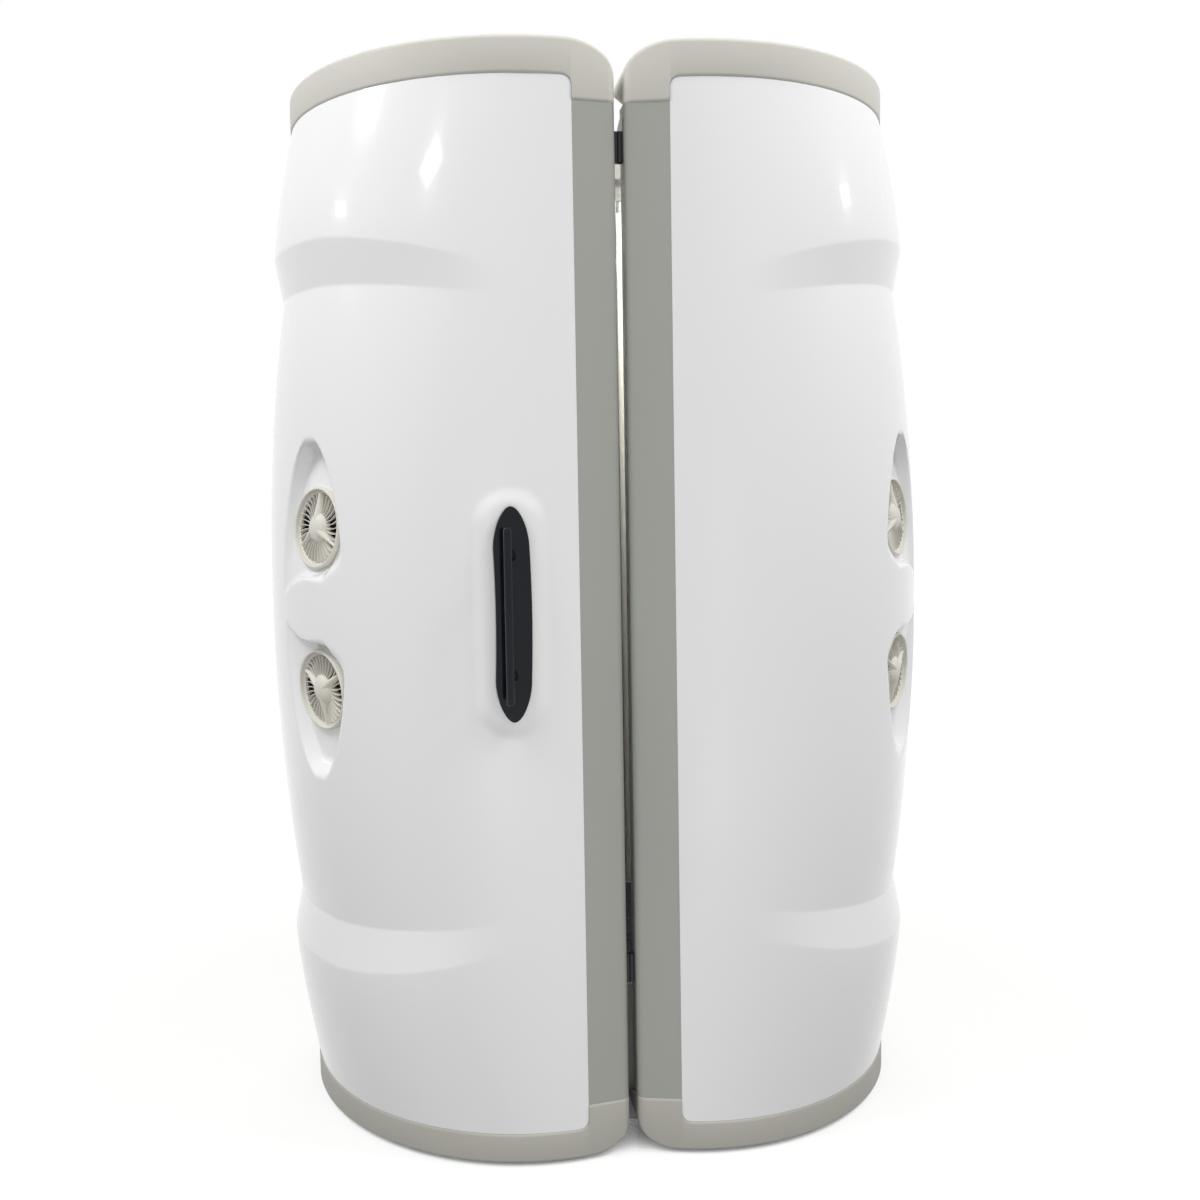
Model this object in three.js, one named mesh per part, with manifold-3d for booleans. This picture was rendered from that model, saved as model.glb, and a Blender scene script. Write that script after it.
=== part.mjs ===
// Vertical tanning booth: two moulded barrel halves that close round a standing platform.
// The left half is the door. It swings on two hinges at the rear seam.
// Millimetres, +Z up, the front faces -Y, the origin is on the floor at the centre of the cabin.

import * as THREE from 'three';
import { mergeVertices } from 'three/addons/utils/BufferGeometryUtils.js';
import Module from 'manifold-3d';

const wasm = await Module();
wasm.setup();

// Clearances
const SEAT_GAP = 0.3;
const RUNNING_GAP = 2;

// Body of one half
const BODY_HEIGHT = 2250;
const FLOOR_GAP = 10;
const SEAM_GAP = 18;
const PLAN_CENTRE_X = 190;
const PLAN_HALF_WIDTH = 485;
const PLAN_HALF_DEPTH = 612;
const POST_OUTER_X = 97;
const SEAM_RADIUS = 20;

// Top cap and base pan
const CAP_HEIGHT = 75;
const CAP_EAR = 46;
const PAN_HEIGHT = 60;
const PAN_EAR = 48;
const RIM_PROUD = 2.5;
const RIM_WALL = 4;
const CAP_FILLET = 10;
const PAN_FILLET = 5;
const CAP_NOTCH_WIDTH = 105;
const CAP_NOTCH_HEIGHT = 70;
const PAN_NOTCH_WIDTH = 82;
const PAN_NOTCH_HEIGHT = 64;
const EAR_CORNER_RADIUS = 20;
const EAR_CORNER_MIDDLE = 7;
const EAR_STEP = 0.5;
const RIM_INNER_RADIUS = 436;
const CABIN_LIP = 8;
const CABIN_POST_SHARE = 0.75;

// Moulded shells
const SHELL_WALL = 4.5;
const SPLIT_Y = 50;
const BULGE = 78;
const BULGE_CENTRE = 1128;
const BULGE_FULL_ANGLE = 54;
const BAND_INNER = 668;
const BAND_OUTER = 763;
const BAND_INNER_BULGE = 33;
const BAND_OUTER_BULGE = 46;
const BAND_INNER_DIP = 58;
const BAND_OUTER_DIP = 105;
const BAND_DIP_ANGLE = 60;
const BAND_FADE_START = 4;
const BAND_FADE_END = 40;

// Scoops and vents
const VENT_ANGLE = 53.9;
const VENT_SPACING = 340;
const VENT_SEAT_BULGE = 42;
const VENT_FACING = 55;
const VENT_TILT = 4.5;
const VENT_HOLE = 148;
const SCOOP_HALF_WIDTH = 132;
const SCOOP_HALF_HEIGHT = 358;
const SCOOP_SHIFT = -8;
const SCOOP_END_WALL = 40;
const SCOOP_REAR_WALL = 0.16;
const SCOOP_FRONT_WALL = 0.26;
const SCOOP_TIP = 0.2;
const SCOOP_CLOSE = 0.7;
const ISLAND_RAMP = 14;
const ISLAND_CLEARANCE = 3;
const ISLAND_TIP = 0.22;
const BEZEL_DIAMETER = 172;
const BEZEL_HEIGHT = 11;
const BEZEL_OPENING = 146;
const BEZEL_BEVEL = 4;
const BEZEL_DISH = 1;
const GRILLE_RECESS = 5;
const GRILLE_DEPTH = 10;
const GRILLE_HUB = 68;
const GRILLE_DOME = 12;
const GRILLE_DOME_SHOULDER = 8;
const GRILLE_VANES = 21;
const GRILLE_SPOKES = 3;
const VANE_WIDTH = 2.4;
const SPOKE_WIDTH = 13;
const FAN_SIZE = 150;
const FAN_DEPTH = 38;
const FAN_BORE = 138;
const FAN_HUB = 52;
const FAN_BLADES = 5;
const FAN_BLADE_THICKNESS = 2.5;
const FAN_BLADE_PITCH = 35;
const FAN_MOTOR = 30;
const FAN_STRUT = 8;

// Handle on the door
const HANDLE_ANGLE = 5;
const HANDLE_LENGTH = 426;
const HANDLE_WIDTH = 72;
const HANDLE_THICKNESS = 7;
const HANDLE_BOW = 5.6;
const HANDLE_TIP_LENGTH = 84;
const HANDLE_TIP_ROUND = 0.42;
const PAD_FACING = -4.8;
const PAD_RISE = 5;
const PAD_MARGIN = 4;
const PAD_RAMP = 18;
const BAR_LENGTH = 346;
const BAR_DIAMETER = 16;
const BAR_EDGE = 3;
const BAR_STANDOFF = 42;
const BAR_SHIFT = 14;
const BAR_ARM_SPACING = 236;
const BAR_ARM_DIAMETER = 13;

// Posts, frame and inner fittings
const POST_WALL = 3;
const POST_RETURN = 45;
const POST_HEM = 12;
const PLATE_THICKNESS = 4;
const TOP_PLATE_RISE = 1;
const UPRIGHT = 25;
const UPRIGHT_X = 56;
const JAMB_WALL = 2;
const JAMB_GAP = 3;
const PLATE_EDGE_GAP = 0.5;
const PLATE_SEAM_GAP = 3;
const TRAY_INNER_RADIUS = 428;
const ACRYLIC_RADIUS = 430;
const ACRYLIC_WALL = 4;
const ACRYLIC_SPAN = 75;
const LAMP_CIRCLE = 462;
const LAMP_DIAMETER = 38;
const LAMP_COUNT = 15;
const LAMP_SPAN = 71;
const LAMP_RAIL_WIDTH = 46;
const LAMP_RAIL_HEIGHT = 50;
const LAMP_RAIL_SPAN = 74;
const REFLECTOR_RADIUS = 490;
const REFLECTOR_WALL = 1.5;
const REFLECTOR_SPAN = 75.5;
const REFLECTOR_GAP = 3;
const BALLAST_SIZE = new THREE.Vector3(120, 280, 320);
const BALLAST_X = 572;

// Platform
const PLATFORM_RADIUS = 415;
const PLATFORM_HEIGHT = 310;
const PLATFORM_WALL = 4;
const PLATFORM_ACCESS = 60;
const PLATFORM_CHAMFER = 8;
const MAT_RADIUS = 385;
const MAT_THICKNESS = 5;
const MAT_EDGE = 2;
const FOOT_DIAMETER = 50;
const FOOT_EDGE = 2;
const FOOT_X = 560;
const FOOT_Y = 210;

// Hinges
const LOWER_HINGE_INSET = 410;
const UPPER_HINGE_INSET = 420;
const HINGE_LENGTH = 120;
const HINGE_LEAF = 3;
const HINGE_LEAF_WIDTH = 62;
const KNUCKLE_RADIUS = 10;
const HINGE_PIN_RADIUS = 5;
const HINGE_PIN_HEAD = 3;
const HINGE_PIN_CLEARANCE = 0.3;
const KNUCKLE_GAP = 0.6;

// Catches in the front seam
const TOP_CATCH_INSET = 200;
const BOTTOM_CATCH_INSET = 375;
const CATCH_LENGTH = 60;
const CATCH_DEPTH = 26;
const MAGNET_THICKNESS = 9;
const CATCH_GAP = 0.5;

// Control console
const CONSOLE_X = 42;
const CONSOLE_WIDTH = 56;
const CONSOLE_HEIGHT = 190;
const CONSOLE_BOTTOM = 1260;
const CONSOLE_REACH = 148;
const CONSOLE_CORNER = 8;
const BUTTON_DIAMETER = 26;
const BUTTON_PROUD = 6;
const BUTTON_EDGE = 2;
const BUTTON_DEPTH = 16;
const BUTTON_TRAVEL = 3;
const BUTTON_SPACING = 80;
const BUTTON_CLEARANCE = 0.3;

// Supply gland on the rear of the fixed base pan
const GLAND_DIAMETER = 34;
const GLAND_LENGTH = 30;
const GLAND_FLANGE = 5;
const GLAND_BORE = 10;
const GLAND_BORE_DEPTH = 22;

// Facets
const WIDE_ROUND = 20;
const ROUND = 16;
const FAN_ROUND = 12;
const FINE_ROUND = 8;
const LAMP_SIDES = 6;
const ARC_STEPS = 12;
const NOTCH_STEPS = 5;
const RAIL_STEPS = 10;
const RIM_ANGLES = [4, 19, 34, 49, 63, 77];
const BARE_ANGLES = [0, 9];
const FRONT_ANGLES = [18, 27];
const SIDE_ANGLES = [74, 84];
const REAR_ANGLES = [108, 123, 139, 156, 172];

const SEAM_X = SEAM_GAP / 2;
const STRIKE_THICKNESS = SEAM_GAP - MAGNET_THICKNESS - CATCH_GAP - 2 * SEAT_GAP;
const CAP_TOP = FLOOR_GAP + BODY_HEIGHT;
const SHELL_BOTTOM = FLOOR_GAP + PAN_HEIGHT + SEAT_GAP;
const SHELL_TOP = CAP_TOP - CAP_HEIGHT - SEAT_GAP;
const MIDDLE_Z = FLOOR_GAP + BULGE_CENTRE;
const TRAY_TOP = FLOOR_GAP + PAN_HEIGHT - PLATE_THICKNESS;
const TOP_PLATE_UNDERSIDE = CAP_TOP - CAP_HEIGHT + TOP_PLATE_RISE;

const radians = THREE.MathUtils.degToRad;
const { clamp, lerp, smoothstep } = THREE.MathUtils;

// Solids

// A closed body from corner points and triangles, turned so that its faces point out.
function closedBody(points, triangles) {
  let volume = 0;
  for (const [a, b, c] of triangles) {
    volume += points[a].dot(new THREE.Vector3().crossVectors(points[b], points[c]));
  }
  const index = triangles.flatMap(([a, b, c]) => (volume > 0 ? [a, b, c] : [a, c, b]));
  const geometry = new THREE.BufferGeometry();
  const flat = points.flatMap(({ x, y, z }) => [x, y, z]);
  geometry.setAttribute('position', new THREE.Float32BufferAttribute(flat, 3));
  geometry.setIndex(index);
  return geometry;
}

// A wall between an outer and an inner grid of points, both as columns of rows.
function wallBody(outer, inner) {
  const columns = outer.length;
  const rows = outer[0].length;
  const points = [...outer.flat(), ...inner.flat()];
  const out = (column, row) => column * rows + row;
  const into = (column, row) => columns * rows + column * rows + row;
  const triangles = [];
  const quad = (a, b, c, d) => triangles.push([a, b, c], [a, c, d]);
  for (let i = 0; i + 1 < columns; i += 1) {
    for (let j = 0; j + 1 < rows; j += 1) {
      quad(out(i, j), out(i + 1, j), out(i + 1, j + 1), out(i, j + 1));
      quad(into(i, j), into(i, j + 1), into(i + 1, j + 1), into(i + 1, j));
    }
    quad(out(i, 0), into(i, 0), into(i + 1, 0), out(i + 1, 0));
    quad(out(i, rows - 1), out(i + 1, rows - 1), into(i + 1, rows - 1), into(i, rows - 1));
  }
  for (let j = 0; j + 1 < rows; j += 1) {
    quad(out(0, j), out(0, j + 1), into(0, j + 1), into(0, j));
    quad(out(columns - 1, j), into(columns - 1, j), into(columns - 1, j + 1), out(columns - 1, j + 1));
  }
  return closedBody(points, triangles);
}

// A body through a row of closed sections with equal point counts. The two end sections are flat.
function loftBody(sections) {
  const count = sections[0].length;
  const points = sections.flat();
  const triangles = [];
  for (let i = 0; i + 1 < sections.length; i += 1) {
    for (let j = 0; j < count; j += 1) {
      const next = (j + 1) % count;
      const a = i * count + j;
      const b = i * count + next;
      triangles.push([a, b, b + count], [a, b + count, a + count]);
    }
  }
  const last = (sections.length - 1) * count;
  for (const [a, b, c] of endTriangles(sections[0])) triangles.push([a, c, b]);
  for (const [a, b, c] of endTriangles(sections.at(-1))) triangles.push([last + a, last + b, last + c]);
  return closedBody(points, triangles);
}

// Triangles of a flat vertical section, in the order of its points.
function endTriangles(section) {
  const along = section.reduce((far, p) => (p.distanceTo(section[0]) > far.distanceTo(section[0]) ? p : far));
  const axis = new THREE.Vector2(along.x - section[0].x, along.y - section[0].y).normalize();
  const flat = section.map((p) => new THREE.Vector2(p.x * axis.x + p.y * axis.y, p.z));
  const turned = THREE.ShapeUtils.area(flat) < 0;
  const faces = THREE.ShapeUtils.triangulateShape(turned ? flat.slice().reverse() : flat, []);
  const at = (k) => (turned ? section.length - 1 - k : k);
  return faces.map(([a, b, c]) => (turned ? [at(a), at(c), at(b)] : [at(a), at(b), at(c)]));
}

// A vertical prism of a plan outline.
function prism(outline, z0, z1, holes = []) {
  const shape = new THREE.Shape(outline);
  shape.holes = holes.map((hole) => new THREE.Path(hole));
  const geometry = new THREE.ExtrudeGeometry(shape, { depth: z1 - z0, bevelEnabled: false });
  return geometry.translate(0, 0, z0);
}

// A body turned about Z from [radius, z] points.
function turned(profile, segments = ROUND) {
  const lathe = new THREE.LatheGeometry(profile.map(([r, z]) => new THREE.Vector2(r, z)), segments);
  return geometryOf(solid(lathe.rotateX(Math.PI / 2)));
}

function box(width, depth, height) {
  return new THREE.BoxGeometry(width, depth, height);
}

function upright(radius, z0, z1, segments = ROUND) {
  return turned([[0, z0], [radius, z0], [radius, z1], [0, z1]], segments);
}

function solid(geometry) {
  const bare = geometry.clone();
  bare.deleteAttribute('normal');
  bare.deleteAttribute('uv');
  const merged = mergeVertices(bare, 1e-4);
  const vertProperties = new Float32Array(merged.attributes.position.array);
  const triangles = [];
  const index = merged.index.array;
  for (let i = 0; i < index.length; i += 3) {
    const [a, b, c] = [index[i], index[i + 1], index[i + 2]];
    if (a !== b && b !== c && c !== a) triangles.push(a, b, c);
  }
  const mesh = new wasm.Mesh({ numProp: 3, vertProperties, triVerts: new Uint32Array(triangles) });
  return new wasm.Manifold(mesh);
}

function geometryOf(manifold) {
  const mesh = manifold.getMesh();
  const geometry = new THREE.BufferGeometry();
  geometry.setAttribute('position', new THREE.BufferAttribute(new Float32Array(mesh.vertProperties), 3));
  geometry.setIndex(new THREE.BufferAttribute(new Uint32Array(mesh.triVerts), 1));
  return geometry;
}

function join(first, ...others) {
  return geometryOf(others.reduce((whole, next) => whole.add(solid(next)), solid(first)));
}

function cut(first, ...cutters) {
  return geometryOf(cutters.reduce((whole, next) => whole.subtract(solid(next)), solid(first)));
}

// Plan of the right half

const POST_T = Math.asin((POST_OUTER_X - PLAN_CENTRE_X) / PLAN_HALF_WIDTH);

// A point on the plan curve: t is 0 at the front-most point, 90 degrees at the side.
function planPoint(t, offset = 0) {
  const normal = new THREE.Vector2(Math.sin(t) / PLAN_HALF_WIDTH, -Math.cos(t) / PLAN_HALF_DEPTH).normalize();
  const x = PLAN_CENTRE_X + PLAN_HALF_WIDTH * Math.sin(t) + normal.x * offset;
  const y = -PLAN_HALF_DEPTH * Math.cos(t) + normal.y * offset;
  return { x, y, normal };
}

function planSpeed(t, offset = 0) {
  const step = 1e-3;
  const a = planPoint(t - step, offset);
  const b = planPoint(t + step, offset);
  return Math.hypot(b.x - a.x, b.y - a.y) / (2 * step);
}

// The flat post face from the plan curve to the rounded seam edge, as stations from seam to shell.
function postStations(offset, seamX, straight) {
  const edge = planPoint(POST_T, offset);
  const { normal } = edge;
  const centreX = seamX + SEAM_RADIUS;
  const centreY = edge.y + (-SEAM_RADIUS - (centreX - edge.x) * normal.x) / normal.y;
  const faceAngle = Math.atan2(normal.y, normal.x);
  const stations = [];
  const side = new THREE.Vector2(-1, 0);
  if (straight > 0) stations.push({ x: seamX, y: centreY + straight, normal: side });
  const steps = 2;
  for (let k = 0; k <= steps; k += 1) {
    const angle = lerp(-Math.PI, faceAngle, k / steps);
    const turn = new THREE.Vector2(Math.cos(angle), Math.sin(angle));
    stations.push({ x: centreX + SEAM_RADIUS * turn.x, y: centreY + SEAM_RADIUS * turn.y, normal: turn });
  }
  stations.push(edge);
  return stations;
}

function mirrorStation({ x, y, normal, ...rest }) {
  return { x, y: -y, normal: new THREE.Vector2(normal.x, -normal.y), ...rest };
}

// The whole outline of a half from the front seam to the rear seam.
// drop says how far the rim reaches past its straight edge at each station: the ears.
function rimStations(offset, seamX, ear) {
  const front = postStations(offset, seamX, 0).map((station) => ({ ...station, drop: ear }));
  const speed = planSpeed(POST_T, offset);
  const corner = ear > 0 ? [EAR_STEP, EAR_CORNER_MIDDLE, EAR_CORNER_RADIUS] : [];
  for (const distance of corner) {
    const run = EAR_CORNER_RADIUS - distance;
    const drop = EAR_CORNER_RADIUS - Math.sqrt(EAR_CORNER_RADIUS ** 2 - run ** 2);
    front.push({ ...planPoint(POST_T + distance / speed, offset), drop });
  }
  for (const degrees of RIM_ANGLES) front.push({ ...planPoint(radians(degrees), offset), drop: 0 });
  const side = { ...planPoint(Math.PI / 2, offset), drop: 0 };
  return [...front, side, ...front.slice().reverse().map(mirrorStation)];
}

// The moulded surface

function facing(t) {
  const { normal } = planPoint(Math.min(t, Math.PI - t));
  return THREE.MathUtils.radToDeg(Math.atan2(normal.x, -normal.y));
}

function bandEdges(t) {
  const away = clamp((BAND_DIP_ANGLE - facing(t)) / BAND_DIP_ANGLE, 0, 1);
  return {
    inner: BAND_INNER - BAND_INNER_DIP * away ** 1.3,
    outer: BAND_OUTER - BAND_OUTER_DIP * away ** 1.4,
  };
}

// How far the barrel stands out from the plan curve, with a stepped band above and below the belly.
function barrel(t, z) {
  const rise = Math.abs(z - MIDDLE_Z);
  const end = z > MIDDLE_Z ? SHELL_TOP - MIDDLE_Z : MIDDLE_Z - SHELL_BOTTOM;
  const { inner, outer } = bandEdges(t);
  let stepped;
  if (rise < inner) stepped = lerp(BULGE, BAND_INNER_BULGE, (rise / inner) ** 2);
  else if (rise < outer) stepped = lerp(BAND_INNER_BULGE, BAND_OUTER_BULGE, (rise - inner) / (outer - inner));
  else stepped = BAND_OUTER_BULGE * (1 - clamp((rise - outer) / (end - outer), 0, 1) ** 1.35);
  const plain = BULGE * (1 - clamp(rise / end, 0, 1) ** 2.2);
  const shown = smoothstep(facing(t), BAND_FADE_START, BAND_FADE_END);
  const forward = Math.min(t, Math.PI - t);
  const spread = clamp((forward - POST_T) / (radians(BULGE_FULL_ANGLE) - POST_T), 0, 1);
  return Math.sin(spread * Math.PI / 2) * lerp(plain, stepped, shown);
}

const VENT_T = radians(VENT_ANGLE);
const VENT_SPEED = planSpeed(VENT_T, VENT_SEAT_BULGE);

// The seat of a vent: a point and the way that it faces. level is 1 for the upper vent, -1 for the lower.
function ventSeat(level) {
  const seat = planPoint(VENT_T, VENT_SEAT_BULGE);
  const flat = Math.cos(radians(VENT_TILT));
  const out = new THREE.Vector3(
    Math.sin(radians(VENT_FACING)) * flat,
    -Math.cos(radians(VENT_FACING)) * flat,
    level * Math.sin(radians(VENT_TILT)),
  );
  return { point: new THREE.Vector3(seat.x, seat.y, MIDDLE_Z + level * VENT_SPACING / 2), out };
}

// The seat of the handle plate: a flat pad that stands out from the door.
function handleSeat() {
  const t = radians(HANDLE_ANGLE);
  const seat = planPoint(t, barrel(t, MIDDLE_Z) + PAD_RISE);
  const out = new THREE.Vector3(Math.sin(radians(PAD_FACING)), -Math.cos(radians(PAD_FACING)), 0);
  return { point: new THREE.Vector3(seat.x, seat.y, MIDDLE_Z), out };
}

// How far a flat seat lies from the plan curve at t and z.
function seatOffset({ point, out }, t, z) {
  const base = planPoint(t);
  const away = (point.x - base.x) * out.x + (point.y - base.y) * out.y + (point.z - z) * out.z;
  return away / (base.normal.x * out.x + base.normal.y * out.y);
}

// Width of the scoop at a height above or below the middle, as a share of its full width.
function scoopShare(rise) {
  return Math.max(SCOOP_TIP, Math.sqrt(Math.max(0, 1 - (rise / SCOOP_HALF_HEIGHT) ** 2)));
}

// Half height of the round island between the vents, across the scoop.
function islandEdge(across) {
  const full = VENT_SPACING / 2 - BEZEL_DIAMETER / 2 - ISLAND_CLEARANCE - ISLAND_RAMP;
  return full * Math.max(ISLAND_TIP, Math.sqrt(Math.max(0, 1 - across ** 2)));
}

// How much of the scoop's depth is reached at a place: across is -1 and 1 at its front and rear edges.
function scoopDepth(across, rise) {
  const wall = across > 0 ? SCOOP_REAR_WALL : SCOOP_FRONT_WALL;
  const side = clamp((1 - Math.abs(across)) / wall, 0, 1);
  const tip = clamp((SCOOP_HALF_HEIGHT - rise) / SCOOP_END_WALL, 0, 1);
  const island = clamp((rise - islandEdge(across)) / ISLAND_RAMP, 0, 1);
  return side * tip * island;
}

// How much of the handle pad is reached at a place.
function padHeight(along, rise) {
  const flatAcross = HANDLE_WIDTH / 2 + HANDLE_BOW + PAD_MARGIN;
  const flatUp = HANDLE_LENGTH / 2 + PAD_MARGIN;
  const across = clamp((flatAcross + PAD_RAMP - Math.abs(along)) / PAD_RAMP, 0, 1);
  const up = clamp((flatUp + PAD_RAMP - rise) / PAD_RAMP, 0, 1);
  return across * up;
}

const HANDLE_T = radians(HANDLE_ANGLE);
const HANDLE_SPEED = planSpeed(HANDLE_T, BULGE / 3);

// The outer face of the front shell.
function frontFace(t, z, across, withHandle) {
  const rise = Math.abs(z - MIDDLE_Z);
  const level = z > MIDDLE_Z ? 1 : -1;
  let face = barrel(t, z);
  const depth = scoopDepth(across, rise);
  if (depth > 0) face = lerp(face, Math.min(face, seatOffset(ventSeat(level), t, z)), depth);
  if (withHandle) {
    const pad = padHeight((t - HANDLE_T) * HANDLE_SPEED, rise);
    if (pad > 0) face = lerp(face, seatOffset(handleSeat(), t, z), pad);
  }
  return face;
}

// Columns of a shell: each gives t at a height, and the place across the scoop where it has one.
function frontColumns(withHandle) {
  const columns = [];
  const edgeSpeed = planSpeed(POST_T);
  const fixed = (t) => columns.push({ t: () => t, across: () => 2 });
  for (const distance of [SEAT_GAP, EAR_CORNER_MIDDLE, EAR_CORNER_RADIUS]) {
    fixed(POST_T + distance / edgeSpeed);
  }
  if (withHandle) {
    const flat = HANDLE_WIDTH / 2 + HANDLE_BOW + PAD_MARGIN;
    const foot = flat + PAD_RAMP;
    for (const along of [-foot, -flat, flat, foot]) fixed(HANDLE_T + along / HANDLE_SPEED);
  } else {
    for (const degrees of BARE_ANGLES) fixed(radians(degrees));
  }
  for (const degrees of FRONT_ANGLES) fixed(radians(degrees));
  const inner = 1 - SCOOP_FRONT_WALL;
  const rear = 1 - SCOOP_REAR_WALL;
  for (const across of [-1, -inner, 0, rear, 1]) {
    const t = (z) => {
      const rise = Math.abs(z - MIDDLE_Z);
      const spread = rise < SCOOP_HALF_HEIGHT ? scoopShare(rise) : 1 - SCOOP_CLOSE * SCOOP_HALF_HEIGHT / rise;
      return VENT_T + (SCOOP_SHIFT + across * SCOOP_HALF_WIDTH * spread) / VENT_SPEED;
    };
    columns.push({ t, across: () => across });
  }
  for (const degrees of SIDE_ANGLES) fixed(radians(degrees));
  fixed(SPLIT_T - SEAT_GAP / 2 / planSpeed(SPLIT_T));
  return columns;
}

const SPLIT_T = Math.PI / 2 + Math.asin(SPLIT_Y / PLAN_HALF_DEPTH);

// Heights of a shell's rows in a column at t. The outer rows follow the band and the rounded corners.
function rowHeights(t, across, rises) {
  const { inner, outer } = bandEdges(t);
  const fromPost = Math.min(t - POST_T, Math.PI - POST_T - t) * planSpeed(POST_T);
  const run = Math.max(0, EAR_CORNER_RADIUS - fromPost);
  const corner = EAR_CORNER_RADIUS - Math.sqrt(EAR_CORNER_RADIUS ** 2 - run ** 2);
  const top = SHELL_TOP - corner;
  const bottom = SHELL_BOTTOM + corner;
  const upper = [inner, outer].map((rise) => MIDDLE_Z + rise);
  const lower = [outer, inner].map((rise) => MIDDLE_Z - rise);
  const places = rises.map((rise) => rise(across));
  const below = places.map((rise) => MIDDLE_Z - rise).reverse();
  const above = places.map((rise) => MIDDLE_Z + rise);
  return [bottom, (bottom + lower[0]) / 2, ...lower, ...below, ...above, ...upper, (top + upper[1]) / 2, top];
}

function shellBody(columns, rises, face) {
  const outer = [];
  const inner = [];
  for (const column of columns) {
    const heights = rowHeights(column.t(MIDDLE_Z), column.across(), rises);
    const place = (z, depth) => {
      const t = column.t(z);
      const { x, y } = planPoint(t, face(t, z, column.across()) - depth);
      return new THREE.Vector3(x, y, z);
    };
    outer.push(heights.map((z) => place(z, 0)));
    inner.push(heights.map((z) => place(z, SHELL_WALL)));
  }
  return wallBody(outer, inner);
}

function frontShell(withHandle) {
  const rises = [
    (across) => islandEdge(across),
    (across) => islandEdge(across) + ISLAND_RAMP,
    () => VENT_SPACING / 2,
    () => SCOOP_HALF_HEIGHT - SCOOP_END_WALL,
    () => SCOOP_HALF_HEIGHT,
  ];
  if (withHandle) {
    const flat = HANDLE_LENGTH / 2 + PAD_MARGIN;
    rises.splice(3, 0, () => flat, () => flat + PAD_RAMP);
  }
  const face = (t, z, across) => frontFace(t, z, across, withHandle);
  const skin = shellBody(frontColumns(withHandle), rises, face);
  const holes = [1, -1].map((level) => {
    const reach = BEZEL_DIAMETER / 2;
    return upright(VENT_HOLE / 2, -reach, reach, WIDE_ROUND).applyMatrix4(seatMatrix(ventSeat(level)));
  });
  return cut(skin, ...holes);
}

function rearShell() {
  const start = SPLIT_T + SEAT_GAP / 2 / planSpeed(SPLIT_T);
  const edge = Math.PI - POST_T;
  const edgeSpeed = planSpeed(POST_T);
  const corners = [EAR_CORNER_RADIUS, EAR_CORNER_MIDDLE, SEAT_GAP].map((d) => edge - d / edgeSpeed);
  const spans = REAR_ANGLES.map(radians);
  const columns = [start, ...spans, ...corners].map((t) => ({ t: () => t, across: () => 2 }));
  return shellBody(columns, [() => SCOOP_HALF_HEIGHT], (t, z) => barrel(t, z));
}

// A frame on a seat: +Z out of the seat, +Y up.
function seatMatrix({ point, out }) {
  const across = new THREE.Vector3(0, 0, 1).cross(out).normalize();
  const up = new THREE.Vector3().crossVectors(out, across);
  return new THREE.Matrix4().makeBasis(across, up, out).setPosition(point);
}

// Rims: the top cap and, upside down, the base pan

// A solid half ring between the outline and the cabin circle, from the ears' edge to a flat face.
function rimSolid({ offset, seamX, innerRadius, face, straightEdge, innerEdge, ear, fillet }) {
  const way = Math.sign(face - straightEdge);
  const sections = rimStations(offset, seamX, ear).map(({ x, y, drop }) => {
    const polar = Math.atan2(y, x);
    const inPost = Math.abs(x) < POST_OUTER_X && Math.abs(y) > PLAN_HALF_DEPTH / 2;
    const innerX = inPost ? lerp(seamX, x, CABIN_POST_SHARE) : innerRadius * Math.cos(polar);
    const innerY = Math.sign(y) * Math.sqrt(innerRadius ** 2 - innerX ** 2);
    const outer = new THREE.Vector2(x, y);
    const inner = new THREE.Vector2(innerX, innerY);
    const into = inner.clone().sub(outer).normalize();
    const at = (inset, z) => new THREE.Vector3(x + into.x * inset, y + into.y * inset, z);
    const shoulder = fillet > 0 ? [at(0, face - way * fillet), at(fillet, face)] : [at(0, face)];
    return [
      at(0, straightEdge - way * drop),
      ...shoulder,
      new THREE.Vector3(innerX, innerY, face),
      new THREE.Vector3(innerX, innerY, innerEdge),
      at(outer.distanceTo(inner) - CABIN_LIP, innerEdge),
    ];
  });
  return loftBody(sections);
}

// What a rounded seam corner takes away: a bar along Y with a hollow quarter ellipse.
function notchCutter(seamX, face, way, width, height) {
  const reach = PLAN_HALF_DEPTH + BULGE;
  const outline = [
    new THREE.Vector2(seamX - width, face + way * height),
    new THREE.Vector2(seamX - width, face - way * height),
  ];
  for (let k = 0; k <= NOTCH_STEPS; k += 1) {
    const angle = Math.PI / 2 * (k / NOTCH_STEPS);
    const x = seamX + width * (1 - Math.cos(angle));
    outline.push(new THREE.Vector2(x, face - way * height * (1 - Math.sin(angle))));
  }
  outline.push(new THREE.Vector2(seamX + width, face + way * height));
  const bar = new THREE.ExtrudeGeometry(new THREE.Shape(outline), { depth: 2 * reach, bevelEnabled: false });
  return bar.rotateX(Math.PI / 2).translate(0, reach, 0);
}

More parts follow.
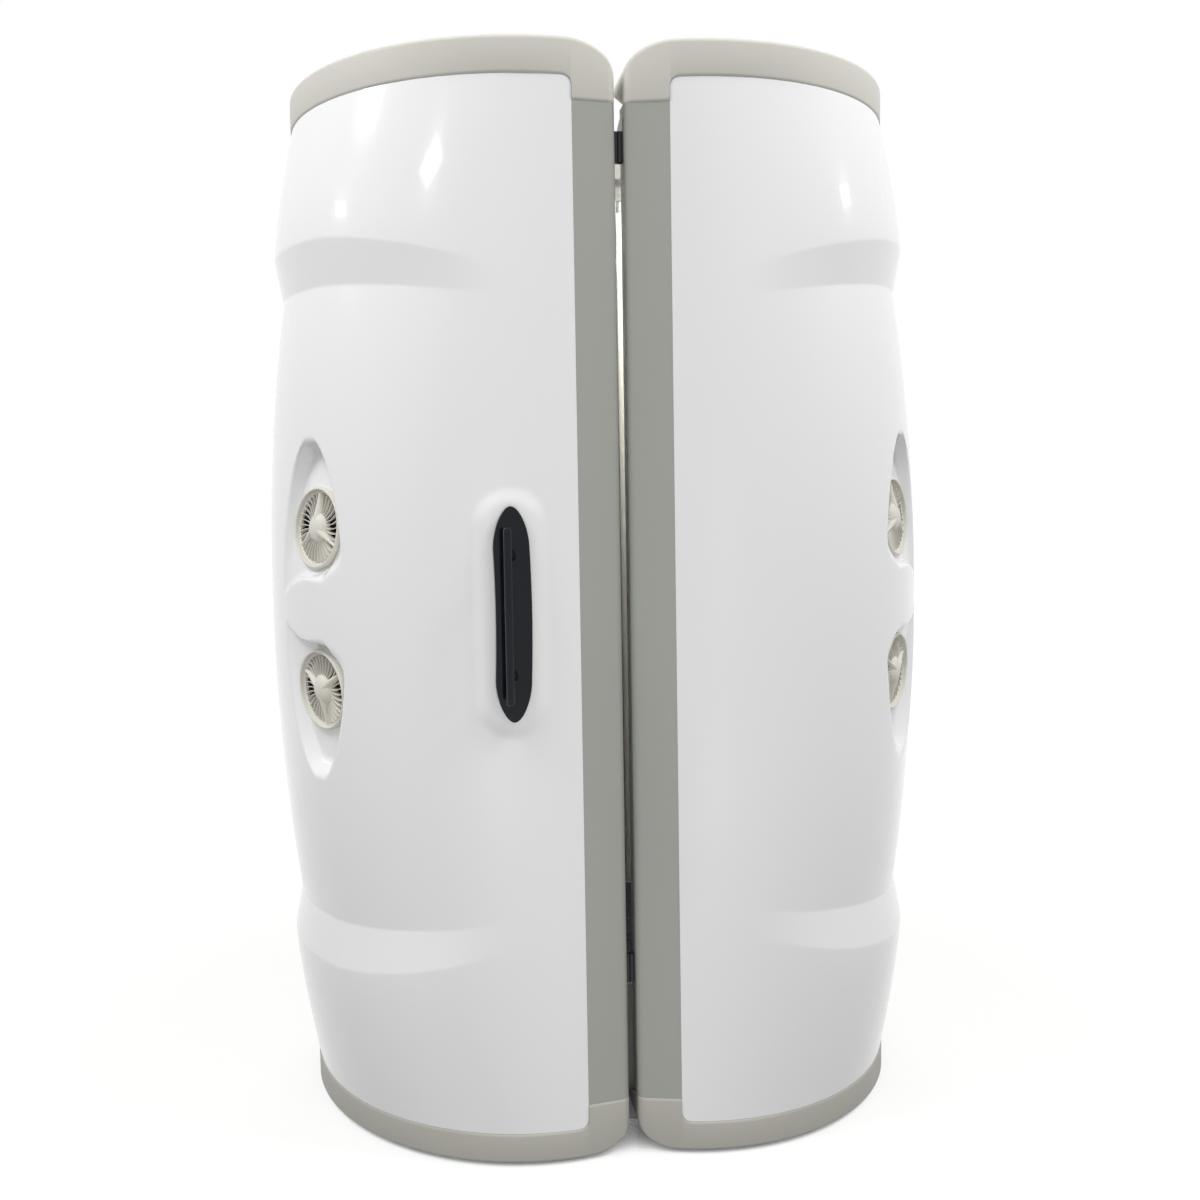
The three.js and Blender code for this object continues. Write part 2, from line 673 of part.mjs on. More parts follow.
function rim({ face, straightEdge, innerEdge, ear, fillet, notchWidth, notchHeight }) {
  const way = Math.sign(face - straightEdge);
  const outside = rimSolid({
    offset: RIM_PROUD,
    seamX: SEAM_X,
    innerRadius: RIM_INNER_RADIUS,
    face,
    straightEdge,
    innerEdge,
    ear,
    fillet,
  });
  const hollowFace = face - way * RIM_WALL;
  const hollowEdge = straightEdge - way * (CAP_EAR + PAN_EAR);
  const hollow = rimSolid({
    offset: RIM_PROUD - RIM_WALL,
    seamX: SEAM_X + RIM_WALL,
    innerRadius: RIM_INNER_RADIUS + RIM_WALL,
    face: hollowFace,
    straightEdge: hollowEdge,
    innerEdge: hollowEdge,
    ear: 0,
    fillet: 0,
  });
  const corner = notchCutter(SEAM_X, face, way, notchWidth, notchHeight);
  const roundOutside = solid(outside).subtract(solid(corner));
  const insideWidth = notchWidth - RIM_WALL;
  const insideHeight = notchHeight - RIM_WALL;
  const inside = notchCutter(SEAM_X + RIM_WALL, hollowFace, way, insideWidth, insideHeight);
  return geometryOf(roundOutside.subtract(solid(hollow).subtract(solid(inside))));
}

function topCap() {
  const straightEdge = CAP_TOP - CAP_HEIGHT;
  const innerEdge = TOP_PLATE_UNDERSIDE + PLATE_THICKNESS + SEAT_GAP;
  return rim({
    face: CAP_TOP,
    straightEdge,
    innerEdge,
    ear: CAP_EAR,
    fillet: CAP_FILLET,
    notchWidth: CAP_NOTCH_WIDTH,
    notchHeight: CAP_NOTCH_HEIGHT,
  });
}

function basePan() {
  const straightEdge = FLOOR_GAP + PAN_HEIGHT;
  const innerEdge = TRAY_TOP - PLATE_THICKNESS - SEAT_GAP;
  return rim({
    face: FLOOR_GAP,
    straightEdge,
    innerEdge,
    ear: PAN_EAR,
    fillet: PAN_FILLET,
    notchWidth: PAN_NOTCH_WIDTH,
    notchHeight: PAN_NOTCH_HEIGHT,
  });
}

// A folded post between the ears of the pan and the cap.
function frontPost() {
  const outer = postStations(0, SEAM_X, POST_RETURN);
  const inner = postStations(-POST_WALL, SEAM_X + POST_WALL, POST_RETURN);
  const edge = planPoint(POST_T);
  const along = new THREE.Vector2(edge.normal.y, -edge.normal.x);
  const hem = (depth, back) => new THREE.Vector2(
    edge.x - edge.normal.x * depth + along.x * back,
    edge.y - edge.normal.y * depth + along.y * back,
  );
  const outline = [
    ...outer.map(({ x, y }) => new THREE.Vector2(x, y)),
    hem(POST_HEM, 0),
    hem(POST_HEM, POST_WALL),
    hem(POST_WALL, POST_WALL),
    ...inner.slice(0, -1).reverse().map(({ x, y }) => new THREE.Vector2(x, y)),
  ];
  const low = FLOOR_GAP + PAN_HEIGHT + PAN_EAR + SEAT_GAP;
  const high = CAP_TOP - CAP_HEIGHT - CAP_EAR - SEAT_GAP;
  return prism(outline, low, high);
}

// Inner fittings

// Place on the inside of a post face: across is X on the face, depth goes in from the face.
function behindPost(x, depth) {
  const edge = planPoint(POST_T);
  const along = new THREE.Vector2(-edge.normal.y, edge.normal.x);
  const run = (x - edge.x) / along.x;
  return {
    x: edge.x + along.x * run - edge.normal.x * depth,
    y: edge.y + along.y * run - edge.normal.y * depth,
    turn: Math.atan2(along.y, along.x),
  };
}

// A half ring plate between the outline and a circle round the cabin.
function ringPlate(offset, innerRadius, z) {
  const seamX = SEAM_X + RIM_WALL + PLATE_SEAM_GAP;
  const outline = rimStations(offset, seamX, 0).map(({ x, y }) => new THREE.Vector2(x, y));
  const start = Math.acos(seamX / innerRadius);
  const angles = [start];
  for (let k = 1; k < WIDE_ROUND / 2; k += 1) angles.push(Math.PI / 2 - k * 2 * Math.PI / WIDE_ROUND);
  angles.push(-start);
  for (const angle of angles) {
    outline.push(new THREE.Vector2(innerRadius * Math.cos(angle), innerRadius * Math.sin(angle)));
  }
  return prism(outline, z, z + PLATE_THICKNESS);
}

// A jamb sheet from an upright to the end of the reflector closes the space behind the shell.
function jamb(side, low, high) {
  const start = behindPost(UPRIGHT_X + UPRIGHT / 2 - JAMB_WALL / 2, POST_WALL + SEAT_GAP + UPRIGHT / 3);
  const reach = REFLECTOR_RADIUS + REFLECTOR_WALL + JAMB_GAP;
  const end = new THREE.Vector2(
    reach * Math.cos(radians(REFLECTOR_SPAN)),
    -reach * Math.sin(radians(REFLECTOR_SPAN)),
  );
  const run = new THREE.Vector2(end.x - start.x, end.y - start.y);
  const sheet = box(run.length(), JAMB_WALL, high - low);
  sheet.rotateZ(side * run.angle());
  return sheet.translate((start.x + end.x) / 2, side * (start.y + end.y) / 2, (low + high) / 2);
}

function frameBody(innerRadius) {
  const edge = RIM_PROUD - RIM_WALL - PLATE_EDGE_GAP;
  const pieces = [
    ringPlate(edge, innerRadius, TRAY_TOP - PLATE_THICKNESS),
    ringPlate(edge, TRAY_INNER_RADIUS, TOP_PLATE_UNDERSIDE),
  ];
  const overlap = PLATE_THICKNESS / 2;
  const low = TRAY_TOP - overlap;
  const high = TOP_PLATE_UNDERSIDE + overlap;
  for (const side of [1, -1]) {
    const place = behindPost(UPRIGHT_X, POST_WALL + SEAT_GAP + UPRIGHT / 2);
    const tube = box(UPRIGHT, UPRIGHT, high - low);
    tube.rotateZ(side * place.turn).translate(place.x, side * place.y, (low + high) / 2);
    pieces.push(tube, jamb(side, low, high));
  }
  return join(...pieces);
}

// A thin arc wall round the cabin, with its ends folded in by a flange.
function arcOutline(radius, wall, span, flange, steps) {
  const at = (r, angle) => new THREE.Vector2(r * Math.cos(angle), r * Math.sin(angle));
  const reach = radians(span);
  const thin = wall / radius;
  const outside = [];
  const inside = [];
  for (let k = 0; k <= steps; k += 1) {
    outside.push(at(radius + wall, lerp(-reach, reach, k / steps)));
    inside.push(at(radius, lerp(reach - thin, -reach + thin, k / steps)));
  }
  if (flange === 0) return [...outside, ...inside];
  const tip = radius - flange;
  return [
    at(tip, -reach), ...outside, at(tip, reach), at(tip, reach - thin), ...inside, at(tip, -reach + thin),
  ];
}

const INNER_BOTTOM = TRAY_TOP + SEAT_GAP;
const INNER_TOP = TOP_PLATE_UNDERSIDE - SEAT_GAP;

function reflector() {
  const flange = REFLECTOR_RADIUS - ACRYLIC_RADIUS - ACRYLIC_WALL - REFLECTOR_GAP;
  const outline = arcOutline(REFLECTOR_RADIUS, REFLECTOR_WALL, REFLECTOR_SPAN, flange, ARC_STEPS);
  return prism(outline, INNER_BOTTOM, INNER_TOP);
}

function acrylicScreen() {
  const outline = arcOutline(ACRYLIC_RADIUS, ACRYLIC_WALL, ACRYLIC_SPAN, 0, ARC_STEPS);
  return prism(outline, INNER_BOTTOM, INNER_TOP);
}

// Lamps stand in a lower and an upper lampholder rail.
function lampBank() {
  const rail = arcOutline(LAMP_CIRCLE - LAMP_RAIL_WIDTH / 2, LAMP_RAIL_WIDTH, LAMP_RAIL_SPAN, 0, RAIL_STEPS);
  const pieces = [
    prism(rail, INNER_BOTTOM, INNER_BOTTOM + LAMP_RAIL_HEIGHT),
    prism(rail, INNER_TOP - LAMP_RAIL_HEIGHT, INNER_TOP),
  ];
  const seat = LAMP_RAIL_HEIGHT / 2;
  for (let k = 0; k < LAMP_COUNT; k += 1) {
    const angle = radians(lerp(-LAMP_SPAN, LAMP_SPAN, k / (LAMP_COUNT - 1)));
    const tube = upright(LAMP_DIAMETER / 2, INNER_BOTTOM + seat, INNER_TOP - seat, LAMP_SIDES);
    pieces.push(tube.translate(LAMP_CIRCLE * Math.cos(angle), LAMP_CIRCLE * Math.sin(angle), 0));
  }
  return join(...pieces);
}

// Vent pieces, about the seat's axis, with the seat face at z = 0

function ventBezel() {
  const outer = BEZEL_DIAMETER / 2;
  const opening = BEZEL_OPENING / 2;
  return turned([
    [opening, SEAT_GAP],
    [outer, SEAT_GAP],
    [outer, BEZEL_HEIGHT - BEZEL_BEVEL],
    [outer - BEZEL_BEVEL, BEZEL_HEIGHT],
    [opening, BEZEL_HEIGHT - BEZEL_DISH],
    [opening, SEAT_GAP],
  ], WIDE_ROUND);
}

// A domed hub with vanes and wider spokes. Their tips stand in the bezel's opening.
function ventGrille(spokeTurn) {
  const tip = BEZEL_OPENING / 2 * Math.cos(Math.PI / WIDE_ROUND) - SEAT_GAP;
  const top = BEZEL_HEIGHT - GRILLE_RECESS;
  const hub = GRILLE_HUB / 2;
  const steps = GRILLE_VANES + GRILLE_SPOKES;
  const outline = [];
  for (let k = 0; k < steps; k += 1) {
    const turn = spokeTurn + k / steps * 2 * Math.PI;
    const spoke = k % (steps / GRILLE_SPOKES) === 0;
    const side = (spoke ? SPOKE_WIDTH : VANE_WIDTH) / 2;
    const root = Math.sqrt(hub ** 2 - side ** 2);
    const reach = Math.sqrt(tip ** 2 - side ** 2);
    for (const [along, across] of [[root, -side], [reach, -side], [reach, side], [root, side]]) {
      outline.push(new THREE.Vector2(along, across).rotateAround(new THREE.Vector2(), turn));
    }
  }
  const base = top - GRILLE_DEPTH / 2;
  const crown = top + GRILLE_DOME;
  const shoulder = [hub - GRILLE_DOME_SHOULDER, crown - GRILLE_DOME_SHOULDER / 2];
  const dome = turned([[0, base], [hub, base], shoulder, [0, crown]], FINE_ROUND);
  return join(prism(outline, top - GRILLE_DEPTH, top), dome);
}

const FAN_FRONT = -SHELL_WALL - SEAT_GAP;

function fanFrame() {
  const body = box(FAN_SIZE, FAN_SIZE, FAN_DEPTH).translate(0, 0, FAN_FRONT - FAN_DEPTH / 2);
  const back = FAN_FRONT - FAN_DEPTH;
  const bored = cut(body, upright(FAN_BORE / 2, back - FAN_STRUT, FAN_FRONT + FAN_STRUT, FAN_ROUND));
  const strut = box(FAN_SIZE - FAN_STRUT, FAN_STRUT, FAN_STRUT / 2).translate(0, 0, back + FAN_STRUT / 4);
  return join(bored, strut, upright(FAN_MOTOR / 2, back, FAN_FRONT - FAN_DEPTH / 2, FINE_ROUND));
}

// The rotor's hub is a cup that turns round the motor.
function fanRotor() {
  const high = FAN_FRONT - RUNNING_GAP - GRILLE_DEPTH / 2;
  const low = FAN_FRONT - FAN_DEPTH + FAN_STRUT / 2 + RUNNING_GAP;
  const cup = FAN_FRONT - FAN_DEPTH / 2 + SEAT_GAP;
  const hub = FAN_HUB / 2;
  const socket = (FAN_MOTOR / 2 + SEAT_GAP) / Math.cos(Math.PI / FINE_ROUND);
  const profile = [[0, cup], [socket, cup], [socket, low], [hub, low], [hub, high], [0, high]];
  const pieces = [turned(profile, FINE_ROUND)];
  const root = hub * Math.cos(Math.PI / FINE_ROUND) - FAN_BLADE_THICKNESS;
  const pitch = radians(FAN_BLADE_PITCH);
  const chord = (high - low - FAN_BLADE_THICKNESS * Math.sin(pitch)) / Math.cos(pitch);
  const side = (chord * Math.sin(pitch) + FAN_BLADE_THICKNESS * Math.cos(pitch)) / 2;
  const bore = FAN_BORE / 2 * Math.cos(Math.PI / FAN_ROUND);
  const tip = Math.sqrt((bore - RUNNING_GAP) ** 2 - side ** 2);
  for (let k = 0; k < FAN_BLADES; k += 1) {
    const blade = box(tip - root, FAN_BLADE_THICKNESS, chord).rotateX(pitch);
    blade.translate((tip + root) / 2, 0, (high + low) / 2).rotateZ(k / FAN_BLADES * 2 * Math.PI);
    pieces.push(blade);
  }
  return join(...pieces);
}

// Handle pieces, on the pad's face: +X away from the seam, +Y up, +Z out. The plate bows to the seam.

function handleOutline() {
  const half = HANDLE_WIDTH / 2;
  const tip = HANDLE_LENGTH / 2;
  const shoulder = tip - HANDLE_TIP_LENGTH;
  const round = HANDLE_TIP_ROUND;
  const shape = new THREE.Shape();
  shape.moveTo(0, tip);
  shape.bezierCurveTo(half * round, tip, half, shoulder + HANDLE_TIP_LENGTH * round, half, shoulder);
  shape.quadraticCurveTo(half - HANDLE_BOW, 0, half, -shoulder);
  shape.bezierCurveTo(half, -shoulder - HANDLE_TIP_LENGTH * round, half * round, -tip, 0, -tip);
  shape.bezierCurveTo(-half * round, -tip, -half, -shoulder - HANDLE_TIP_LENGTH * round, -half, -shoulder);
  shape.quadraticCurveTo(-half - HANDLE_BOW, 0, -half, shoulder);
  shape.bezierCurveTo(-half, shoulder + HANDLE_TIP_LENGTH * round, -half * round, tip, 0, tip);
  return shape;
}

function handlePlate() {
  const bevel = HANDLE_THICKNESS / 3;
  const plate = new THREE.ExtrudeGeometry(handleOutline(), {
    depth: HANDLE_THICKNESS - bevel,
    bevelThickness: bevel,
    bevelSize: bevel,
    bevelOffset: -bevel,
    bevelSegments: 1,
    curveSegments: 6,
  });
  const below = box(2 * HANDLE_WIDTH, 2 * HANDLE_LENGTH, HANDLE_THICKNESS);
  return cut(plate, below.translate(0, 0, -HANDLE_THICKNESS / 2)).translate(0, 0, SEAT_GAP);
}

function handleBar() {
  const foot = HANDLE_THICKNESS + 2 * SEAT_GAP;
  const half = BAR_LENGTH / 2;
  const radius = BAR_DIAMETER / 2;
  const rod = turned([
    [0, -half], [radius - BAR_EDGE, -half], [radius, -half + BAR_EDGE],
    [radius, half - BAR_EDGE], [radius - BAR_EDGE, half], [0, half],
  ], FAN_ROUND).rotateX(-Math.PI / 2).translate(BAR_SHIFT, 0, foot + BAR_STANDOFF);
  const arms = [1, -1].map((side) => {
    const lean = Math.atan2(BAR_SHIFT, BAR_STANDOFF);
    const reach = Math.hypot(BAR_SHIFT, BAR_STANDOFF);
    const arm = upright(BAR_ARM_DIAMETER / 2, -BAR_ARM_DIAMETER, reach, FINE_ROUND).rotateY(lean);
    return arm.translate(0, side * BAR_ARM_SPACING / 2, foot);
  });
  const below = box(4 * HANDLE_WIDTH, 2 * HANDLE_LENGTH, 2 * HANDLE_WIDTH);
  return cut(join(rod, ...arms), below.translate(0, 0, foot - HANDLE_WIDTH));
}

// Platform, feet and hinges

function floorPlatform() {
  const r = PLATFORM_RADIUS;
  const top = PLATFORM_HEIGHT;
  const wall = PLATFORM_WALL;
  return turned([
    [0, 0], [r, 0], [r, top - PLATFORM_CHAMFER], [r - PLATFORM_CHAMFER, top], [PLATFORM_ACCESS, top],
    [PLATFORM_ACCESS, top - wall], [r - wall, top - PLATFORM_CHAMFER], [r - wall, wall], [0, wall],
  ], WIDE_ROUND);
}

function floorMat() {
  const low = PLATFORM_HEIGHT + SEAT_GAP;
  const high = low + MAT_THICKNESS;
  return turned([
    [0, low], [MAT_RADIUS, low], [MAT_RADIUS, high - MAT_EDGE], [MAT_RADIUS - MAT_EDGE, high], [0, high],
  ], WIDE_ROUND);
}

function glideFoot() {
  const r = FOOT_DIAMETER / 2;
  const top = FLOOR_GAP - SEAT_GAP;
  return turned([[0, 0], [r - FOOT_EDGE, 0], [r, FOOT_EDGE], [r, top], [0, top]], FINE_ROUND);
}

// The hinge axis stands off both rear post faces by a knuckle.
const HINGE_STANDOFF = KNUCKLE_RADIUS + KNUCKLE_GAP;
const HINGE_Y = (() => {
  const face = behindPost(0, -HINGE_STANDOFF);
  const edge = planPoint(POST_T);
  return -(face.y - edge.normal.x / edge.normal.y * (0 - face.x));
})();

// Leaf of the right half, about the hinge axis. knuckles are its [low, high] shares of the hinge's length.
function hingeLeaf(knuckles) {
  const face = behindPost(0, 0);
  const turn = -face.turn;
  const along = new THREE.Vector2(Math.cos(turn), Math.sin(turn));
  const normal = new THREE.Vector2(-along.y, along.x);
  const start = KNUCKLE_RADIUS + HINGE_LEAF;
  const boreRadius = (HINGE_PIN_RADIUS + HINGE_PIN_CLEARANCE) / Math.cos(Math.PI / FINE_ROUND);
  const sheet = (from, to, low, high) => {
    const centre = (from + to) / 2;
    const depth = HINGE_STANDOFF - SEAT_GAP - HINGE_LEAF / 2;
    const place = along.clone().multiplyScalar(centre).addScaledVector(normal, -depth);
    const plate = box(to - from, HINGE_LEAF, high - low).rotateZ(turn);
    return plate.translate(place.x, place.y, (low + high) / 2);
  };
  const half = HINGE_LENGTH / 2;
  const pieces = [sheet(start, start + HINGE_LEAF_WIDTH, -half, half)];
  const bores = [];
  for (const [from, to] of knuckles) {
    const low = lerp(-half, half, from) + (from > 0 ? KNUCKLE_GAP / 2 : 0);
    const high = lerp(-half, half, to) - (to < 1 ? KNUCKLE_GAP / 2 : 0);
    pieces.push(upright(KNUCKLE_RADIUS, low, high, FINE_ROUND), sheet(0, start + HINGE_LEAF, low, high));
    bores.push(upright(boreRadius, low - HINGE_LEAF, high + HINGE_LEAF, FINE_ROUND));
  }
  return cut(join(...pieces), ...bores);
}

function hingePin() {
  const half = HINGE_LENGTH / 2;
  const head = half + SEAT_GAP;
  const r = HINGE_PIN_RADIUS;
  const wide = r + HINGE_PIN_HEAD;
  const top = head + HINGE_PIN_HEAD;
  return turned([[0, -half], [r, -half], [r, head], [wide, head], [wide, top], [0, top]], FINE_ROUND);
}

// Catches stand on the seam returns of the front posts.
function catchBlock(thickness) {
  return box(thickness, CATCH_DEPTH, CATCH_LENGTH);
}

function catchY() {
  const stations = postStations(0, SEAM_X, POST_RETURN);
  return stations[0].y - POST_RETURN / 2;
}

// Console behind the rear post of the fixed half, in the frame of that post's face: +Y out of the cabin.
function consoleBody(buttonHeights) {
  const back = -(POST_WALL + UPRIGHT + 2 * SEAT_GAP);
  const front = -CONSOLE_REACH;
  const width = CONSOLE_WIDTH / 2;
  const outline = [
    [-width, back], [-width, front + CONSOLE_CORNER], [-width + CONSOLE_CORNER, front],
    [width - CONSOLE_CORNER, front], [width, front + CONSOLE_CORNER], [width, back],
  ].map(([x, y]) => new THREE.Vector2(x, y));
  const body = prism(outline, CONSOLE_BOTTOM, CONSOLE_BOTTOM + CONSOLE_HEIGHT);
  const bores = buttonHeights.map((z) => {
    const depth = BUTTON_DEPTH + BUTTON_TRAVEL + BUTTON_CLEARANCE;
    const radius = BUTTON_DIAMETER / 2 + BUTTON_CLEARANCE / Math.cos(Math.PI / FINE_ROUND);
    const bore = upright(radius, -depth, BUTTON_PROUD, FINE_ROUND).rotateX(Math.PI / 2);
    return bore.translate(0, front, z);
  });
  return cut(body, ...bores);
}

// The button slides along the frame's Y axis.
function pushButton() {
  const r = BUTTON_DIAMETER / 2;
  return turned([
    [0, -BUTTON_DEPTH],
    [r, -BUTTON_DEPTH],
    [r, BUTTON_PROUD - BUTTON_EDGE],
    [r - BUTTON_EDGE, BUTTON_PROUD],
    [0, BUTTON_PROUD],
  ], FINE_ROUND).rotateX(Math.PI / 2);
}

function supplyGland() {
  const r = GLAND_DIAMETER / 2;
  return turned([
    [0, 0], [r, 0], [r, GLAND_FLANGE], [r - GLAND_FLANGE, GLAND_FLANGE], [r - GLAND_FLANGE, GLAND_LENGTH],
    [GLAND_BORE / 2, GLAND_LENGTH], [0, GLAND_LENGTH - GLAND_BORE_DEPTH],
  ], FINE_ROUND);
}

// Materials

const FINISHES = {
  gloss_white: { color: 0xe9e9e7, roughness: 0.16, metalness: 0 },
  warm_grey: { color: 0xc6c4bc, roughness: 0.35, metalness: 0 },
  pan_grey: { color: 0xa19e97, roughness: 0.45, metalness: 0 },
  post_grey: { color: 0x9b9c97, roughness: 0.4, metalness: 0.3 },
  frame_grey: { color: 0x8c8f90, roughness: 0.5, metalness: 0.5 },
  mirror_sheet: { color: 0xdfe3e6, roughness: 0.08, metalness: 1 },
  lamp_glass: { color: 0xeef0f4, roughness: 0.2, metalness: 0 },
  clear_acrylic: { color: 0xeaf2f4, roughness: 0.05, metalness: 0 },
  vent_cream: { color: 0xd9d4c8, roughness: 0.4, metalness: 0 },
  black_plastic: { color: 0x25272a, roughness: 0.45, metalness: 0 },
  handle_dark: { color: 0x25272c, roughness: 0.25, metalness: 0.2 },
  platform_grey: { color: 0xb4b6b6, roughness: 0.5, metalness: 0.3 },
  mat_rubber: { color: 0x3a3d40, roughness: 0.85, metalness: 0 },
  hinge_steel: { color: 0xa9acae, roughness: 0.35, metalness: 0.9 },
  start_green: { color: 0x3f8f54, roughness: 0.4, metalness: 0 },
  stop_red: { color: 0xb23a32, roughness: 0.4, metalness: 0 },
};

function piece(name, geometry, finish) {
  const mesh = new THREE.Mesh(geometry, new THREE.MeshStandardMaterial(FINISHES[finish]));
  mesh.name = name;
  return mesh;
}

// Assembly

function vent(name, level) {
  const group = new THREE.Group();
  group.applyMatrix4(seatMatrix(ventSeat(level)));
  const spokeTurn = level * Math.PI / 2;
  group.add(
    piece(`${name}_bezel`, ventBezel(), 'vent_cream'),
    piece(`${name}_grille`, ventGrille(spokeTurn), 'vent_cream'),
    piece(`${name}_fan_frame`, fanFrame(), 'black_plastic'),
    piece(`${name}_fan_rotor`, fanRotor(), 'black_plastic'),
  );
  return group;
}

function half(name, { withHandle, trayRadius }) {
  const group = new THREE.Group();
  const rearPost = piece(`${name}_rear_post`, frontPost(), 'post_grey');
  rearPost.scale.y = -1;
  const ballast = piece(`${name}_ballast_box`, box(...BALLAST_SIZE), 'frame_grey');
  ballast.position.set(BALLAST_X, 0, TRAY_TOP + SEAT_GAP + BALLAST_SIZE.z / 2);
  group.add(
    piece(`${name}_front_shell`, frontShell(withHandle), 'gloss_white'),
    piece(`${name}_rear_shell`, rearShell(), 'gloss_white'),
    piece(`${name}_top_cap`, topCap(), 'warm_grey'),
    piece(`${name}_base_pan`, basePan(), 'pan_grey'),
    piece(`${name}_front_post`, frontPost(), 'post_grey'),
    rearPost,
    piece(`${name}_frame`, frameBody(trayRadius), 'frame_grey'),
    piece(`${name}_reflector`, reflector(), 'mirror_sheet'),
    piece(`${name}_lamp_bank`, lampBank(), 'lamp_glass'),
    piece(`${name}_acrylic_screen`, acrylicScreen(), 'clear_acrylic'),
    ballast,
    vent(`${name}_upper_vent`, 1),
    vent(`${name}_lower_vent`, -1),
  );
  return group;
}

function handle() {
  const group = new THREE.Group();
  group.applyMatrix4(seatMatrix(handleSeat()));
  group.add(
    piece('handle_plate', handlePlate(), 'handle_dark'),
    piece('handle_bar', handleBar(), 'handle_dark'),
  );
  return group;
}

function hinge(name, z) {
  const group = new THREE.Group();
  group.position.set(0, HINGE_Y, z);
  const doorLeaf = piece(`${name}_door_leaf`, hingeLeaf([[1 / 3, 2 / 3]]), 'hinge_steel');
  doorLeaf.scale.x = -1;
  group.add(
    piece(`${name}_fixed_leaf`, hingeLeaf([[0, 1 / 3], [2 / 3, 1]]), 'hinge_steel'),
    doorLeaf,
    piece(`${name}_pin`, hingePin(), 'hinge_steel'),
  );
  return group;
}

function seamCatch(name, z) {
  const group = new THREE.Group();
  group.position.set(0, catchY(), z);
  const magnet = piece(`${name}_catch_magnet`, catchBlock(MAGNET_THICKNESS), 'black_plastic');
  magnet.position.x = SEAM_X - SEAT_GAP - MAGNET_THICKNESS / 2;
  const strike = piece(`${name}_catch_strike`, catchBlock(STRIKE_THICKNESS), 'vent_cream');
  strike.position.x = -SEAM_X + SEAT_GAP + STRIKE_THICKNESS / 2;
  group.add(magnet, strike);
  return group;
}

function controls() {
  const group = new THREE.Group();
  const place = behindPost(CONSOLE_X, 0);
  group.position.set(place.x, -place.y, 0);
  group.rotation.z = -place.turn;
  const middle = CONSOLE_BOTTOM + CONSOLE_HEIGHT / 2;
  const heights = [middle + BUTTON_SPACING / 2, middle - BUTTON_SPACING / 2];
  group.add(piece('control_console', consoleBody(heights), 'warm_grey'));
  ['start', 'stop'].forEach((label, k) => {
    const button = piece(`${label}_button`, pushButton(), k === 0 ? 'start_green' : 'stop_red');
    button.position.set(0, -CONSOLE_REACH, heights[k]);
    group.add(button);
  });
  return group;
}

function gland() {
  const stations = rimStations(RIM_PROUD, SEAM_X, PAN_EAR);
  const rear = stations.filter(({ drop, y }) => drop === 0 && y > 0).slice(1, 3);
  const middle = new THREE.Vector3((rear[0].x + rear[1].x) / 2, (rear[0].y + rear[1].y) / 2, 0);
  const out = new THREE.Vector3(rear[0].y - rear[1].y, rear[1].x - rear[0].x, 0).normalize();
  if (out.dot(middle) < 0) out.negate();
  middle.addScaledVector(out, SEAT_GAP).setZ(FLOOR_GAP + PAN_HEIGHT / 2);
  const mesh = piece('supply_gland', supplyGland(), 'black_plastic');
  mesh.applyMatrix4(seatMatrix({ point: middle, out }));
  return mesh;
}

function feet() {
  return [1, -1].map((side) => {
    const foot = piece(side > 0 ? 'rear_glide_foot' : 'front_glide_foot', glideFoot(), 'black_plastic');
    foot.position.set(FOOT_X, side * FOOT_Y, 0);
    return foot;
  });
}

const booth = new THREE.Group();
const fixedHalf = half('fixed', { withHandle: false, trayRadius: PLATFORM_RADIUS + 2 * SEAT_GAP });
const doorHalf = half('door', { withHandle: true, trayRadius: TRAY_INNER_RADIUS });
doorHalf.add(handle());
doorHalf.scale.x = -1;
booth.add(
  fixedHalf,
  doorHalf,
  hinge('lower_hinge', FLOOR_GAP + LOWER_HINGE_INSET),
  hinge('upper_hinge', CAP_TOP - UPPER_HINGE_INSET),
  seamCatch('top', CAP_TOP - TOP_CATCH_INSET),
  seamCatch('bottom', FLOOR_GAP + BOTTOM_CATCH_INSET),
  piece('floor_platform', floorPlatform(), 'platform_grey'),
  piece('floor_mat', floorMat(), 'mat_rubber'),
  ...feet(),
  controls(),
  gland(),
);

export default booth;
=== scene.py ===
"""Looks of a vertical tanning booth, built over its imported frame.

Two moulded barrel halves close round a standing platform. The left half is the door.
Sizes in the code are millimetres, +Z is up and the front faces -Y. Meshes are in metres.
"""

import math
from dataclasses import dataclass

import bmesh
import bpy
import numpy as np
from mathutils import Matrix, Vector


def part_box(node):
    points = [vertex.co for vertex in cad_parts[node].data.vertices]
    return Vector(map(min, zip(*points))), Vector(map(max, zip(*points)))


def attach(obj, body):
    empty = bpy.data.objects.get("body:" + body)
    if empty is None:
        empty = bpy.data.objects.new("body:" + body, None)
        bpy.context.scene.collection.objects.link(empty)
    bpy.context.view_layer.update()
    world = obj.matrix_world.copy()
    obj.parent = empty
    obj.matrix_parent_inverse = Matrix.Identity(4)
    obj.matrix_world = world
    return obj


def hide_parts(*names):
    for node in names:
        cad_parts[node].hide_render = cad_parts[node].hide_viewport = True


bl_info = {
    "name": "Vertical tanning booth",
    "version": (1, 0, 0),
    "blender": (4, 5, 0),
    "location": "View3D > Sidebar > Booth",
    "description": "Builds the looks of a vertical tanning booth over its packed frame",
    "category": "Add Mesh",
}

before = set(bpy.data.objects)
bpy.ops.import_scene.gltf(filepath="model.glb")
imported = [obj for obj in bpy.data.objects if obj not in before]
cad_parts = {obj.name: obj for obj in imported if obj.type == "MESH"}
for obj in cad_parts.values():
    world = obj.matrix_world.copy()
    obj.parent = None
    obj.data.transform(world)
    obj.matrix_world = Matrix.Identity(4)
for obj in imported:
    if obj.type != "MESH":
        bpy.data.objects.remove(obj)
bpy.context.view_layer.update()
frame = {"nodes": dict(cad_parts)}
MM = 0.001

